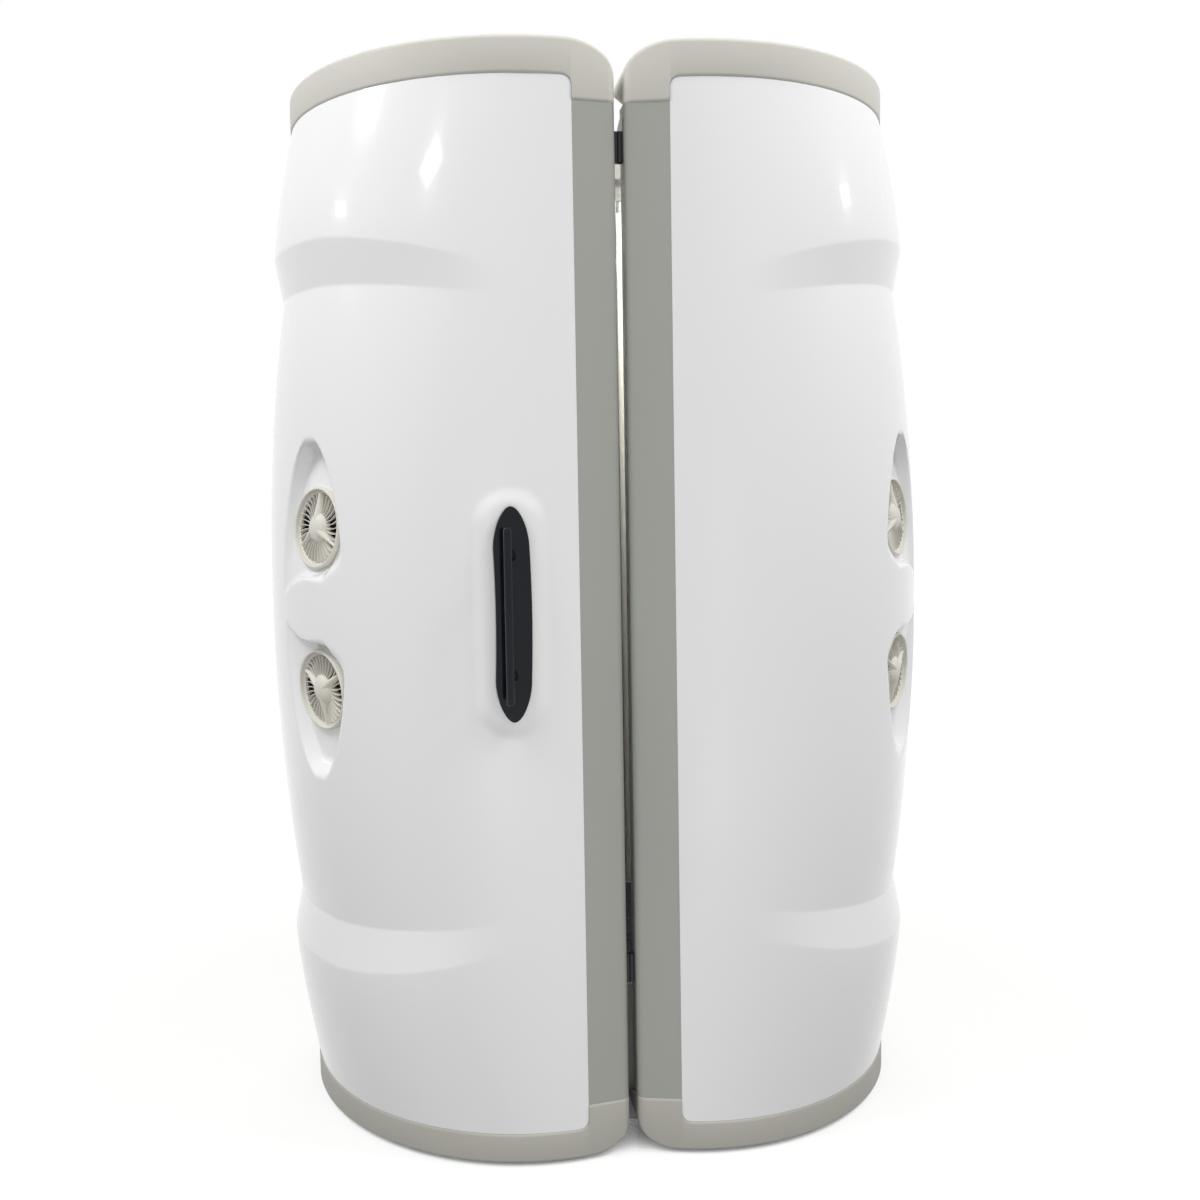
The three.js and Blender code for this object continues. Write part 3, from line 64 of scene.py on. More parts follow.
# Body of one half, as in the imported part
SEAT_GAP = 0.3
FLOOR_GAP = 10
CAP_TOP = 2260
SEAM_X = 9
CENTRE_X = 190
HALF_WIDTH = 485
HALF_DEPTH = 612
POST_OUTER_X = 97
SEAM_RADIUS = 20
CAP_HEIGHT = 75
CAP_EAR = 46
CAP_NOTCH = (105, 70)
PAN_HEIGHT = 60
PAN_EAR = 48
PAN_NOTCH = (82, 64)
RIM_PROUD = 2.5
RIM_WALL = 4
RIM_INNER_RADIUS = 436
EAR_CORNER = 20
POST_WALL = 3
POST_HEM = 12
POST_RETURN = 45
PLATE_THICKNESS = 4
TOP_PLATE_RISE = 1
SHELL_WALL = 4.5
SPLIT_Y = 50
MIDDLE_Z = 1138
SHELL_TOP = CAP_TOP - CAP_HEIGHT - SEAT_GAP
SHELL_BOTTOM = FLOOR_GAP + PAN_HEIGHT + SEAT_GAP
POST_LOW = SHELL_BOTTOM + PAN_EAR
POST_HIGH = SHELL_TOP - CAP_EAR
INNER_BOTTOM = FLOOR_GAP + PAN_HEIGHT - PLATE_THICKNESS + SEAT_GAP
INNER_TOP = CAP_TOP - CAP_HEIGHT + TOP_PLATE_RISE - SEAT_GAP
RIM_FOOT = PLATE_THICKNESS + 2 * SEAT_GAP

# Moulded form
BULGE = 78
BULGE_FULL = math.radians(54)
BAND_INNER = 668
BAND_OUTER = 763
BAND_INNER_BULGE = 30
BAND_OUTER_BULGE = 47
BAND_INNER_DIP = 58
BAND_OUTER_DIP = 105
BAND_DIP_ANGLE = 60
BAND_FADE = (4, 40)
BAND_CURVES = (1.3, 1.4)
FLANK_CURVE = 1.35
PLAIN_CURVE = 2.2
VENT_T = math.radians(53.9)
VENT_RISE = 170
VENT_SEAT_BULGE = 42
VENT_FACING = math.radians(55)
VENT_TILT = math.radians(4.5)
VENT_HOLE = 74
BEZEL_RADIUS = 86
SCOOP_WIDTH = 132
SCOOP_HEIGHT = 358
SCOOP_SHIFT = -8
SCOOP_END = 40
SCOOP_REAR = 0.16
SCOOP_FRONT = 0.36
SCOOP_TIP = 0.08
SCOOP_POINT = 0.56
SCOOP_CORNER = (1, 2.6)
SCOOP_FORWARD = 0.6
ISLAND_RAMP = 18
ISLAND_FRONT_RAMP = 46
ISLAND_CLEARANCE = 3
ISLAND_HALF = VENT_RISE - BEZEL_RADIUS - ISLAND_CLEARANCE - ISLAND_RAMP
ISLAND_TIP = 0.22
HANDLE_T = math.radians(5)
PAD_FACING = math.radians(-4.8)
PAD_RISE = 5
PAD_HALF_WIDTH = 41
PAD_HALF_HEIGHT = 217
PAD_RAMP = 36
POST_T = math.asin((POST_OUTER_X - CENTRE_X) / HALF_WIDTH)
SPLIT_T = math.pi / 2 + math.asin(SPLIT_Y / HALF_DEPTH)
BOX_EASE = 30

HALVES = (("fixed", False, "booth"), ("door", True, "door"))


def linear(hexadecimal):
    """An sRGB hex colour as linear red, green, blue and alpha."""
    values = [int(hexadecimal[k : k + 2], 16) / 255 for k in (1, 3, 5)]
    return [v / 12.92 if v <= 0.04045 else ((v + 0.055) / 1.055) ** 2.4 for v in values] + [1.0]


# Settings


def length(name, description, default):
    return bpy.props.FloatProperty(
        name=name, description=description, default=default * MM, unit="LENGTH", precision=4
    )


def colour(name, description, default):
    return bpy.props.FloatVectorProperty(
        name=name, description=description, default=linear(default), size=4, subtype="COLOR", min=0, max=1
    )


class BoothSizes(bpy.types.PropertyGroup):
    """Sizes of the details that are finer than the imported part."""

    edge_round: length("Moulded edge", "Rounding of the edges on the moulded shells", 3.2)
    surface_step: length("Surface step", "Spacing of the shells' mesh in the scoops", 5)
    cap_fillet: length("Cap edge", "Rounding of the top cap's upper edge", 10)
    pan_fillet: length("Pan edge", "Rounding of the base pan's lower edge", 5)
    lip_round: length("Lip edge", "Rounding of the caps' and pans' lips", 3.4)
    vane_thickness: length("Vane", "Thickness of a vane in the vents", 1.5)
    stud_pitch: length("Stud pitch", "Spacing of the studs on the mat", 24)
    stud_height: length("Stud height", "Height of the studs on the mat", 1.2)
    screw_head: length("Screw head", "Diameter of the hinges' and catches' screw heads", 9)
    vane_count: bpy.props.IntProperty(
        name="Vanes", description="Vanes and spokes round a vent's hub", default=33, min=12, max=60
    )
    vane_lean: bpy.props.FloatProperty(
        name="Vane lean", description="Lean of the vanes", default=math.radians(13), subtype="ANGLE"
    )


class BoothColours(bpy.types.PropertyGroup):
    """Colours of the booth's finishes."""

    shell: colour("Shell", "Gloss white of the moulded shells", "#E9E9EA")
    cap: colour("Top cap", "Warm grey of the top caps", "#CBC9C1")
    pan: colour("Base pan", "Grey of the base pans", "#B0AEA6")
    post: colour("Post", "Grey of the posts", "#A2A39D")
    vent: colour("Vent", "Cream of the bezels and grilles", "#DBD8CE")
    handle: colour("Handle", "Dark lacquer of the handle", "#0F131A")
    nylon: colour("Nylon", "Black of fans, feet and catches", "#222427")
    frame: colour("Frame", "Cream paint of the inner frames", "#CECBC1")
    mirror: colour("Reflector", "Bright aluminium behind the lamps", "#E3E6E8")
    lamp: colour("Lamp", "Powder coat inside the lamp tubes", "#F1EEE5")
    acrylic: colour("Acrylic", "Clear screens before the lamps", "#FAFAF7")
    platform: colour("Platform", "Paint of the standing platform", "#B7B9B8")
    rubber: colour("Mat", "Rubber of the floor mat", "#3C3F42")
    steel: colour("Steel", "Stainless steel of hinges and screws", "#B4B6B7")
    start: colour("Start", "Start button", "#3F8F54")
    stop: colour("Stop", "Stop button", "#B23A32")
    floor: colour("Floor", "Studio floor", "#7A7A78")


# Finishes


@dataclass
class Finish:
    """A surface: its real material, its colour and the sizes of its unevenness in millimetres."""

    material: str
    tint: str
    rough: tuple
    shade: float = 0.95
    patch: float = 150
    grain: float = 2
    relief: float = 0.05
    metal: float = 0
    coat: float = 0
    coat_rough: float = 0.05
    ior: float = 1.5
    clear: float = 0
    mirror: float = 0.5
    edge: float = 0
    stretch: tuple = (1, 1, 1)


FINISHES = {
    # Vacuum-formed ABS under a clear cap layer: a deep even gloss over a faint orange peel.
    "gloss_white": Finish(
        "capped_abs", "shell", (0.16, 0.22), 0.985, 320, 14, 0.012, coat=0.6, coat_rough=0.04
    ),
    # Injection-moulded ABS with a spark-eroded grain, drawn coarser than the real 0.3 mm: a soft sheen.
    "warm_grey": Finish("grained_abs", "cap", (0.42, 0.5), 0.965, 210, 1.6, 0.03),
    # Polyurethane moulding in satin paint: duller than the cap, a little scuffed in patches.
    "pan_grey": Finish("painted_polyurethane", "pan", (0.46, 0.58), 0.94, 120, 1.8, 0.04),
    # Powder coat on folded aluminium: a fine orange peel that spreads the highlights.
    "post_grey": Finish("powder_coated_aluminium", "post", (0.4, 0.48), 0.965, 260, 2.2, 0.035),
    # Powder coat on welded sheet steel: cream, half matt, a little uneven over the welds.
    "frame_grey": Finish("powder_coated_steel", "frame", (0.45, 0.58), 0.93, 110, 2.4, 0.05),
    # Bright rolled aluminium: nearly a mirror, drawn out in fine upright rolling lines.
    "mirror_sheet": Finish(
        "rolled_aluminium", "mirror", (0.07, 0.14), 0.95, 60, 3, 0.01, metal=1, stretch=(1, 1, 0.02)
    ),
    # Glass tube with white phosphor powder inside: matt white under a clear gloss.
    "lamp_glass": Finish(
        "phosphor_glass", "lamp", (0.4, 0.5), 0.97, 80, 5, 0.005, coat=1, coat_rough=0.02
    ),
    # Cast acrylic sheet: clear, with a faint waviness.
    "clear_acrylic": Finish(
        "cast_acrylic", "acrylic", (0.02, 0.04), 0.99, 240, 60, 0.02, ior=1.49, clear=1
    ),
    # Moulded ABS in cream: a low sheen, a shade deeper in patches where it has aged.
    "vent_cream": Finish("moulded_abs", "vent", (0.34, 0.42), 0.93, 45, 1.4, 0.02),
    # Glass-filled nylon: black, slightly dusty and fibrous.
    "black_plastic": Finish("filled_nylon", "nylon", (0.42, 0.56), 0.8, 30, 1.2, 0.04, edge=0.25),
    # Lacquer on cast aluminium: a dark gloss, worn a little paler along the edges.
    "handle_dark": Finish(
        "lacquered_aluminium", "handle", (0.07, 0.12), 0.86, 60, 1.6, 0.004, edge=0.12, mirror=0.22
    ),
    # Stove enamel on sheet steel: an even half gloss.
    "platform_grey": Finish("enamelled_steel", "platform", (0.36, 0.46), 0.95, 140, 2.4, 0.03),
    # Moulded rubber: matt and slightly chalky.
    "mat_rubber": Finish("moulded_rubber", "rubber", (0.74, 0.86), 0.82, 70, 1.8, 0.08),
    # Stainless steel brushed upright: streaks that stretch the highlights sideways.
    "hinge_steel": Finish(
        "brushed_stainless", "steel", (0.26, 0.4), 0.88, 30, 1.6, 0.015, metal=1, stretch=(1, 1, 0.05)
    ),
    # Polycarbonate button caps: a clear gloss over solid colour.
    "start_green": Finish("green_polycarbonate", "start", (0.26, 0.32), 0.92, 18, 2, 0.01, coat=0.3),
    "stop_red": Finish("red_polycarbonate", "stop", (0.26, 0.32), 0.92, 18, 2, 0.01, coat=0.3),
}

# Spread of the noise over which a finish varies, and of the pointiness at which an edge wears paler
UNEVEN = {"From Min": 0.3, "From Max": 0.7}
WORN = {"From Min": 0.53, "From Max": 0.62}
WORN_PALER = 0.12


def add_node(tree, kind, settings, links=()):
    """A node with its settings, by attribute or input, and its links from other nodes' outputs."""
    made = tree.nodes.new(kind)
    for key, value in settings.items():
        if isinstance(key, int) or key in made.inputs:
            made.inputs[key].default_value = value
        else:
            setattr(made, key, value)
    for key, source in dict(links).items():
        tree.links.new(source, made.inputs[key])
    return made


def finish_material(slot):
    """The material of a slot, made on first use."""
    finish = FINISHES[slot]
    known = bpy.data.materials.get(finish.material)
    if known:
        return known
    made = bpy.data.materials.new(finish.material)
    made.use_nodes = True
    tree = made.node_tree
    shader = tree.nodes["Principled BSDF"]
    tint = list(getattr(bpy.context.scene.booth_colours, finish.tint))
    deep = [v * finish.shade for v in tint[:3]] + [1.0]
    place = add_node(tree, "ShaderNodeTexCoord", {}).outputs["Object"]
    spread = add_node(tree, "ShaderNodeMapping", {"Scale": finish.stretch}, {"Vector": place})
    vector = {"Vector": spread.outputs["Vector"]}
    patch = add_node(tree, "ShaderNodeTexNoise", {"Scale": 1 / (finish.patch * MM), "Detail": 3.0}, vector)
    grain = add_node(tree, "ShaderNodeTexNoise", {"Scale": 1 / (finish.grain * MM), "Detail": 2.0}, vector)
    uneven, relief = patch.outputs["Fac"], grain.outputs["Fac"]
    tone = add_node(tree, "ShaderNodeMix", {"data_type": "RGBA", 6: deep, 7: tint}, {0: uneven})
    face = tone.outputs[2]
    if finish.edge:
        edges = add_node(tree, "ShaderNodeNewGeometry", {}).outputs["Pointiness"]
        worn = add_node(tree, "ShaderNodeMapRange", {**WORN, "To Max": finish.edge}, {"Value": edges})
        pale = [v + WORN_PALER for v in tint[:3]] + [1.0]
        shares = {0: worn.outputs["Result"], 6: face}
        face = add_node(tree, "ShaderNodeMix", {"data_type": "RGBA", 7: pale}, shares).outputs[2]
    gloss, dull = finish.rough
    sheens = {**UNEVEN, "To Min": gloss, "To Max": dull}
    sheen = add_node(tree, "ShaderNodeMapRange", sheens, {"Value": uneven})
    bump = add_node(tree, "ShaderNodeBump", {"Distance": finish.relief * MM}, {"Height": relief})
    links = {"Base Color": face, "Roughness": sheen.outputs["Result"], "Normal": bump.outputs["Normal"]}
    for socket, source in links.items():
        tree.links.new(source, shader.inputs[socket])
    for socket, value in (
        ("Metallic", finish.metal),
        ("IOR", finish.ior),
        ("Specular IOR Level", finish.mirror),
        ("Coat Weight", finish.coat),
        ("Coat Roughness", finish.coat_rough),
        ("Transmission Weight", finish.clear),
    ):
        shader.inputs[socket].default_value = value
    if finish.clear:
        # Lamps shine through the clear sheet instead of casting its shadow.
        path = add_node(tree, "ShaderNodeLightPath", {})
        through = add_node(tree, "ShaderNodeBsdfTransparent", {})
        ways = {0: path.outputs["Is Shadow Ray"], 1: shader.outputs[0], 2: through.outputs[0]}
        lit = add_node(tree, "ShaderNodeMixShader", {}, ways)
        tree.links.new(lit.outputs[0], tree.nodes["Material Output"].inputs["Surface"])
    return made


# Shapes: each is (points, faces), in millimetres


def wall(outer, inner, keep=None):
    """A wall between two grids of points. keep says which cells of the grid stay."""
    columns, rows = outer.shape[:2]
    index = np.arange(columns * rows).reshape(columns, rows)
    far = columns * rows
    kept = np.ones((columns - 1, rows - 1), bool) if keep is None else keep
    cells = np.stack([index[:-1, :-1], index[1:, :-1], index[1:, 1:], index[:-1, 1:]], -1)[kept]
    padded = np.pad(kept, 1)
    upright = padded[:-1, 1:-1] != padded[1:, 1:-1]
    level = padded[1:-1, :-1] != padded[1:-1, 1:]
    a = np.concatenate([index[:, :-1][upright], index[:-1, :][level]])
    b = np.concatenate([index[:, 1:][upright], index[1:, :][level]])
    edges = np.stack([a, b, b + far, a + far], -1)
    faces = np.concatenate([cells, cells[:, ::-1] + far, edges])
    return np.concatenate([outer.reshape(-1, 3), inner.reshape(-1, 3)]), faces.tolist()


def loft(sections):
    """A body through closed sections with equal point counts and flat ends."""
    sections = [np.asarray(s, float) for s in sections]
    count = len(sections[0])
    faces = [list(range(count))[::-1], [(len(sections) - 1) * count + k for k in range(count)]]
    for i in range(len(sections) - 1):
        for j in range(count):
            a, b = i * count + j, i * count + (j + 1) % count
            faces.append([a, b, b + count, a + count])
    return np.concatenate(sections), faces


def turned(profile, segments, ring=False):
    """A body turned about Z from (radius, z) points. A ring's profile closes on itself."""
    r, z = np.asarray(profile, float).T
    count = len(r)
    angles = (np.arange(segments) * 2 * math.pi / segments)[:, None]
    points = np.stack([np.cos(angles) * r, np.sin(angles) * r, np.ones_like(angles) * z], -1)
    faces = []
    for i in range(segments):
        for j in range(count if ring else count - 1):
            a, b = i * count + j, i * count + (j + 1) % count
            c, d = (i + 1) % segments * count + (j + 1) % count, (i + 1) % segments * count + j
            faces.append([a, b, c, d])
    return points.reshape(-1, 3), faces


def inset(outline, distance):
    """A plan outline moved in by a distance."""
    outline = np.asarray(outline, float)
    before = outline - np.roll(outline, 1, 0)
    after = np.roll(outline, -1, 0) - outline
    a, b = (np.stack([-d[:, 1], d[:, 0]], -1) / np.linalg.norm(d, axis=1)[:, None] for d in (before, after))
    area = np.sum(outline[:, 0] * np.roll(outline[:, 1], -1) - np.roll(outline[:, 0], -1) * outline[:, 1])
    mean = a + b
    mean /= np.maximum(np.sum(mean * mean, 1)[:, None] / 2, 0.4)
    return outline + mean * distance * math.copysign(1, area)


def prism(outline, low, high, edge=0, both=True, steps=3):
    """An upright body of a plan outline, with its upper or both edges rounded."""
    levels = [(0, low), (0, high)]
    if edge:
        turns = [math.pi / 2 * k / steps for k in range(steps + 1)]
        top = [(edge * (1 - math.cos(a)), high - edge * (1 - math.sin(a))) for a in turns]
        foot = [(d, low + high - z) for d, z in reversed(top)] if both else [(0, low)]
        levels = foot + top
    return loft([np.column_stack([inset(outline, d), np.full(len(outline), z)]) for d, z in levels])


def block(width, depth, height, edge, corner=None):
    """A box about the origin with rounded edges and corners."""
    corner = corner or edge
    x, y = width / 2 - corner, depth / 2 - corner
    outline = []
    for k, (cx, cy) in enumerate(((x, y), (-x, y), (-x, -y), (x, -y))):
        for a in np.linspace(k * math.pi / 2, (k + 1) * math.pi / 2, 5):
            outline.append((cx + corner * math.cos(a), cy + corner * math.sin(a)))
    return prism(outline, -height / 2, height / 2, edge)


def placed(shape, matrix):
    points, faces = shape
    matrix = np.asarray(matrix, float)
    return points @ matrix[:3, :3].T + matrix[:3, 3], faces


def moved(shape, x, y, z):
    return shape[0] + np.array([x, y, z], float), shape[1]


def turned_by(shape, degrees, axis):
    return placed(shape, Matrix.Rotation(math.radians(degrees), 4, axis))


def merged(*shapes):
    points, faces, start = [], [], 0
    for shape_points, shape_faces in shapes:
        points.append(shape_points)
        faces.extend([[k + start for k in face] for face in shape_faces])
        start += len(shape_points)
    return np.concatenate(points), faces


def mesh_of(name, shape, mirrored=False):
    """A mesh in metres, its doubles merged and its faces turned outwards."""
    points = shape[0] * MM
    if mirrored:
        points = points * (-1, 1, 1)
    mesh = bpy.data.meshes.new(name)
    mesh.from_pydata(points.tolist(), [], shape[1])
    work = bmesh.new()
    work.from_mesh(mesh)
    bmesh.ops.remove_doubles(work, verts=work.verts, dist=1e-6)
    bmesh.ops.delete(work, geom=[v for v in work.verts if not v.link_faces], context="VERTS")
    bmesh.ops.recalc_face_normals(work, faces=work.faces)
    work.to_mesh(mesh)
    work.free()
    return mesh


def piece(name, shape, slot, body, nodes=(), mirrored=False, sharp=38):
    """A finished piece that rides on a body and stands for the nodes it replaces."""
    mesh = mesh_of(name, shape, mirrored)
    mesh.shade_smooth()
    mesh.set_sharp_from_angle(angle=math.radians(sharp))
    mesh.materials.append(finish_material(slot))
    made = bpy.data.objects.new(name, mesh)
    bpy.context.scene.collection.objects.link(made)
    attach(made, body)
    if nodes:
        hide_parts(*nodes)
    return made


def on_halves(*parts):
    """Pieces of both halves, the door's mirrored. A part is its name, shape, slot and replaced node."""
    for half, mirrored, body in HALVES:
        for part, shape, slot, node in parts:
            nodes = [f"{half}_{node}"] if node else ()
            piece(f"{half}_{part}", shape, slot, body, nodes, mirrored)


def dress(node, slot):
    """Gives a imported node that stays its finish."""
    mesh = frame["nodes"][node].data
    mesh.materials.clear()
    mesh.materials.append(finish_material(slot))


# Copies made with Geometry Nodes

MATH = "ShaderNodeMath"
WHOLE, REAL, VECTOR = "NodeSocketInt", "NodeSocketFloat", "NodeSocketVector"
# A Skip that no count reaches, so that no copy is left out
NO_GAPS = 1000


def copies_tree(name, sizes, build):
    """A node tree that sets copies of its input geometry on points and makes them one mesh."""
    known = bpy.data.node_groups.get(name)
    if known:
        return known
    tree = bpy.data.node_groups.new(name, "GeometryNodeTree")
    inputs = {"Geometry": "NodeSocketGeometry", **sizes, "Finish": "NodeSocketMaterial"}
    for label, kind in inputs.items():
        tree.interface.new_socket(label, in_out="INPUT", socket_type=kind)
    tree.interface.new_socket("Geometry", in_out="OUTPUT", socket_type="NodeSocketGeometry")
    given = tree.nodes.new("NodeGroupInput").outputs
    spots = build(tree, given)
    spots["Instance"] = given["Geometry"]
    set_out = add_node(tree, "GeometryNodeInstanceOnPoints", {}, spots)
    real = add_node(tree, "GeometryNodeRealizeInstances", {}, {"Geometry": set_out.outputs["Instances"]})
    last = {"Geometry": real.outputs["Geometry"], "Material": given["Finish"]}
    dressed = add_node(tree, "GeometryNodeSetMaterial", {}, last)
    add_node(tree, "NodeGroupOutput", {}, {0: dressed.outputs["Geometry"]})
    return tree


def ring_spots(tree, given):
    """Copy k stands at Start plus k steps about Z, and each copy whose k divides by Skip is left out."""
    points = add_node(tree, "GeometryNodePoints", {}, {"Count": given["Count"]})
    index = add_node(tree, "GeometryNodeInputIndex", {})
    k = add_node(tree, MATH, {"operation": "ADD", 1: 1.0}, {0: index.outputs[0]}).outputs[0]
    rest = add_node(tree, MATH, {"operation": "MODULO"}, {0: k, 1: given["Skip"]})
    turn = add_node(tree, MATH, {"operation": "MULTIPLY_ADD"}, {0: k, 1: given["Step"], 2: given["Start"]})
    euler = add_node(tree, "ShaderNodeCombineXYZ", {}, {"Z": turn.outputs[0]})
    rotation = add_node(tree, "FunctionNodeEulerToRotation", {}, {0: euler.outputs[0]})
    return {"Points": points.outputs[0], "Selection": rest.outputs[0], "Rotation": rotation.outputs[0]}


def field_spots(tree, given):
    """Copies on a square grid inside a circle."""
    pitch = given["Pitch"]
    across = add_node(tree, MATH, {"operation": "MULTIPLY", 1: 2.0}, {0: given["Radius"]})
    share = add_node(tree, MATH, {"operation": "DIVIDE"}, {0: across.outputs[0], 1: pitch})
    count = add_node(tree, MATH, {"operation": "FLOOR"}, {0: share.outputs[0]})
    side = add_node(tree, MATH, {"operation": "MULTIPLY"}, {0: count.outputs[0], 1: pitch})
    rows = add_node(tree, MATH, {"operation": "ADD", 1: 1.0}, {0: count.outputs[0]})
    sizes = {f"Size {axis}": side.outputs[0] for axis in "XY"}
    counts = {f"Vertices {axis}": rows.outputs[0] for axis in "XY"}
    grid = add_node(tree, "GeometryNodeMeshGrid", {}, {**sizes, **counts})
    place = add_node(tree, "GeometryNodeInputPosition", {})
    away = add_node(tree, "ShaderNodeVectorMath", {"operation": "LENGTH"}, {0: place.outputs[0]})
    reach = {0: away.outputs["Value"], 1: given["Radius"]}
    inside = add_node(tree, MATH, {"operation": "LESS_THAN"}, reach)
    return {"Points": grid.outputs["Mesh"], "Selection": inside.outputs[0]}


def row_spots(tree, given):
    """Copies in a straight row."""
    line = add_node(tree, "GeometryNodeMeshLine", {}, {"Count": given["Count"], "Offset": given["Offset"]})
    return {"Points": line.outputs["Mesh"]}


RING = ("ring_of_copies", {"Count": WHOLE, "Start": REAL, "Step": REAL, "Skip": WHOLE}, ring_spots)
FIELD = ("field_of_copies", {"Radius": REAL, "Pitch": REAL}, field_spots)
ROW = ("row_of_copies", {"Count": WHOLE, "Offset": VECTOR}, row_spots)


def copies(shape, plan, slot, **values):
    """The shape's copies on a plan of spots, as one shape."""
    tree = copies_tree(*plan)
    source = bpy.data.objects.new("copy_source", mesh_of("copy_source", shape))
    bpy.context.scene.collection.objects.link(source)
    modifier = source.modifiers.new("copies", "NODES")
    modifier.node_group = tree
    values["Finish"] = finish_material(slot)
    for item in tree.interface.items_tree:
        if item.in_out == "INPUT" and item.name in values:
            modifier[item.identifier] = values[item.name]
    graph = bpy.context.evaluated_depsgraph_get()
    mesh = bpy.data.meshes.new_from_object(source.evaluated_get(graph))
    source.modifiers.remove(modifier)
    points = np.empty(len(mesh.vertices) * 3)
    mesh.vertices.foreach_get("co", points)
    faces = [list(face.vertices) for face in mesh.polygons]
    bpy.data.objects.remove(source)
    bpy.data.meshes.remove(mesh)
    if not faces:
        raise RuntimeError(f"{plan[0]} gave no copies")
    return points.reshape(-1, 3) / MM, faces


def ring_of(shape, slot, count, start=0.0, step=None, skip=NO_GAPS):
    """The shape's copies about Z: a whole turn of them, unless a step is given."""
    step = step or 2 * math.pi / count
    return copies(shape, RING, slot, Count=count, Start=start, Step=step, Skip=skip)


# The moulded form of the right half. The door is its mirror image.


def smooth(x):
    x = np.clip(x, 0, 1)
    return x * x * (3 - 2 * x)


def mix(a, b, share):
    return a + (b - a) * share


def plan_normal(t):
    x, y = np.sin(t) / HALF_WIDTH, -np.cos(t) / HALF_DEPTH
    size = np.hypot(x, y)
    return x / size, y / size


def plan_point(t, offset=0.0):
    """A point on the plan curve: t is 0 at the front and a quarter turn at the side."""
    nx, ny = plan_normal(t)
    return CENTRE_X + HALF_WIDTH * np.sin(t) + nx * offset, -HALF_DEPTH * np.cos(t) + ny * offset


def plan_speed(t, offset=0.0):
    (ax, ay), (bx, by) = plan_point(t - 1e-3, offset), plan_point(t + 1e-3, offset)
    return np.hypot(bx - ax, by - ay) / 2e-3


SIDE_REACH = CENTRE_X + HALF_WIDTH + BULGE
VENT_SPEED = float(plan_speed(VENT_T, VENT_SEAT_BULGE))
HANDLE_SPEED = float(plan_speed(HANDLE_T, BULGE / 3))


def facing(t):
    nx, ny = plan_normal(np.minimum(t, math.pi - t))
    return np.degrees(np.arctan2(nx, -ny))


def band_edges(t):
    away = np.clip((BAND_DIP_ANGLE - facing(t)) / BAND_DIP_ANGLE, 0, 1)
    inner, outer = (away**curve for curve in BAND_CURVES)
    return BAND_INNER - BAND_INNER_DIP * inner, BAND_OUTER - BAND_OUTER_DIP * outer


def barrel(t, z):
    """How far the barrel stands out from the plan curve, with a stepped band above and below the belly."""
    rise = np.abs(z - MIDDLE_Z)
    end = np.where(z > MIDDLE_Z, SHELL_TOP - MIDDLE_Z, MIDDLE_Z - SHELL_BOTTOM)
    inner, outer = band_edges(t)
    belly = mix(BULGE, BAND_INNER_BULGE, (rise / inner) ** 2)
    step = mix(BAND_INNER_BULGE, BAND_OUTER_BULGE, (rise - inner) / (outer - inner))
    flank = BAND_OUTER_BULGE * (1 - np.clip((rise - outer) / (end - outer), 0, 1) ** FLANK_CURVE)
    stepped = np.where(rise < inner, belly, np.where(rise < outer, step, flank))
    plain = BULGE * (1 - np.clip(rise / end, 0, 1) ** PLAIN_CURVE)
    shown = smooth((facing(t) - BAND_FADE[0]) / (BAND_FADE[1] - BAND_FADE[0]))
    forward = np.minimum(t, math.pi - t)
    spread = np.clip((forward - POST_T) / (BULGE_FULL - POST_T), 0, 1)
    return np.sin(spread * math.pi / 2) * mix(plain, stepped, shown)


def seat_on(point, out):
    """A frame on a seat: +Z out of the seat, +Y up."""
    out = Vector(out).normalized()
    across = Vector((0, 0, 1)).cross(out).normalized()
    turn = Matrix((across, out.cross(across), out)).transposed()
    return Matrix.Translation(point) @ turn.to_4x4()


def vent_seat(level):
    x, y = plan_point(VENT_T, VENT_SEAT_BULGE)
    flat = math.cos(VENT_TILT)
    out = (math.sin(VENT_FACING) * flat, -math.cos(VENT_FACING) * flat, level * math.sin(VENT_TILT))
    return seat_on((x, y, MIDDLE_Z + level * VENT_RISE), out)


def handle_seat():
    x, y = plan_point(HANDLE_T, float(barrel(HANDLE_T, MIDDLE_Z)) + PAD_RISE)
    return seat_on((x, y, MIDDLE_Z), (math.sin(PAD_FACING), -math.cos(PAD_FACING), 0))


def seat_offset(seat, t, z):
    """How far a flat seat lies from the plan curve."""
    point, out = seat.translation, seat.col[2]
    x, y = plan_point(t)
    nx, ny = plan_normal(t)
    away = (point.x - x) * out.x + (point.y - y) * out.y + (point.z - z) * out.z
    return away / (nx * out.x + ny * out.y)


def scoop_depth(t, z):
    """How much of a scoop's depth is reached.

    The rear wall is steep and the front is gentle. An island stands between the two vents.
    """
    rise = np.abs(z - MIDDLE_Z)
    share = np.maximum(SCOOP_TIP, np.maximum(0, 1 - (rise / SCOOP_HEIGHT) ** 2) ** SCOOP_POINT)
    across = ((t - VENT_T) * VENT_SPEED - SCOOP_SHIFT) / (SCOOP_WIDTH * share)
    side = (1 - np.abs(across)) / np.where(across > 0, SCOOP_REAR, SCOOP_FRONT)
    tip = smooth((SCOOP_HEIGHT - rise) / SCOOP_END)
    edge = ISLAND_HALF * np.maximum(ISLAND_TIP, np.sqrt(np.maximum(0, 1 - across**2)))
    forward = smooth(-across / SCOOP_FORWARD)
    island = (rise - edge) / mix(ISLAND_RAMP, ISLAND_FRONT_RAMP, forward)
    corner = mix(*SCOOP_CORNER, forward)
    short = np.hypot(np.maximum(0, corner - side), np.maximum(0, corner - island))
    return tip * smooth(corner - short)


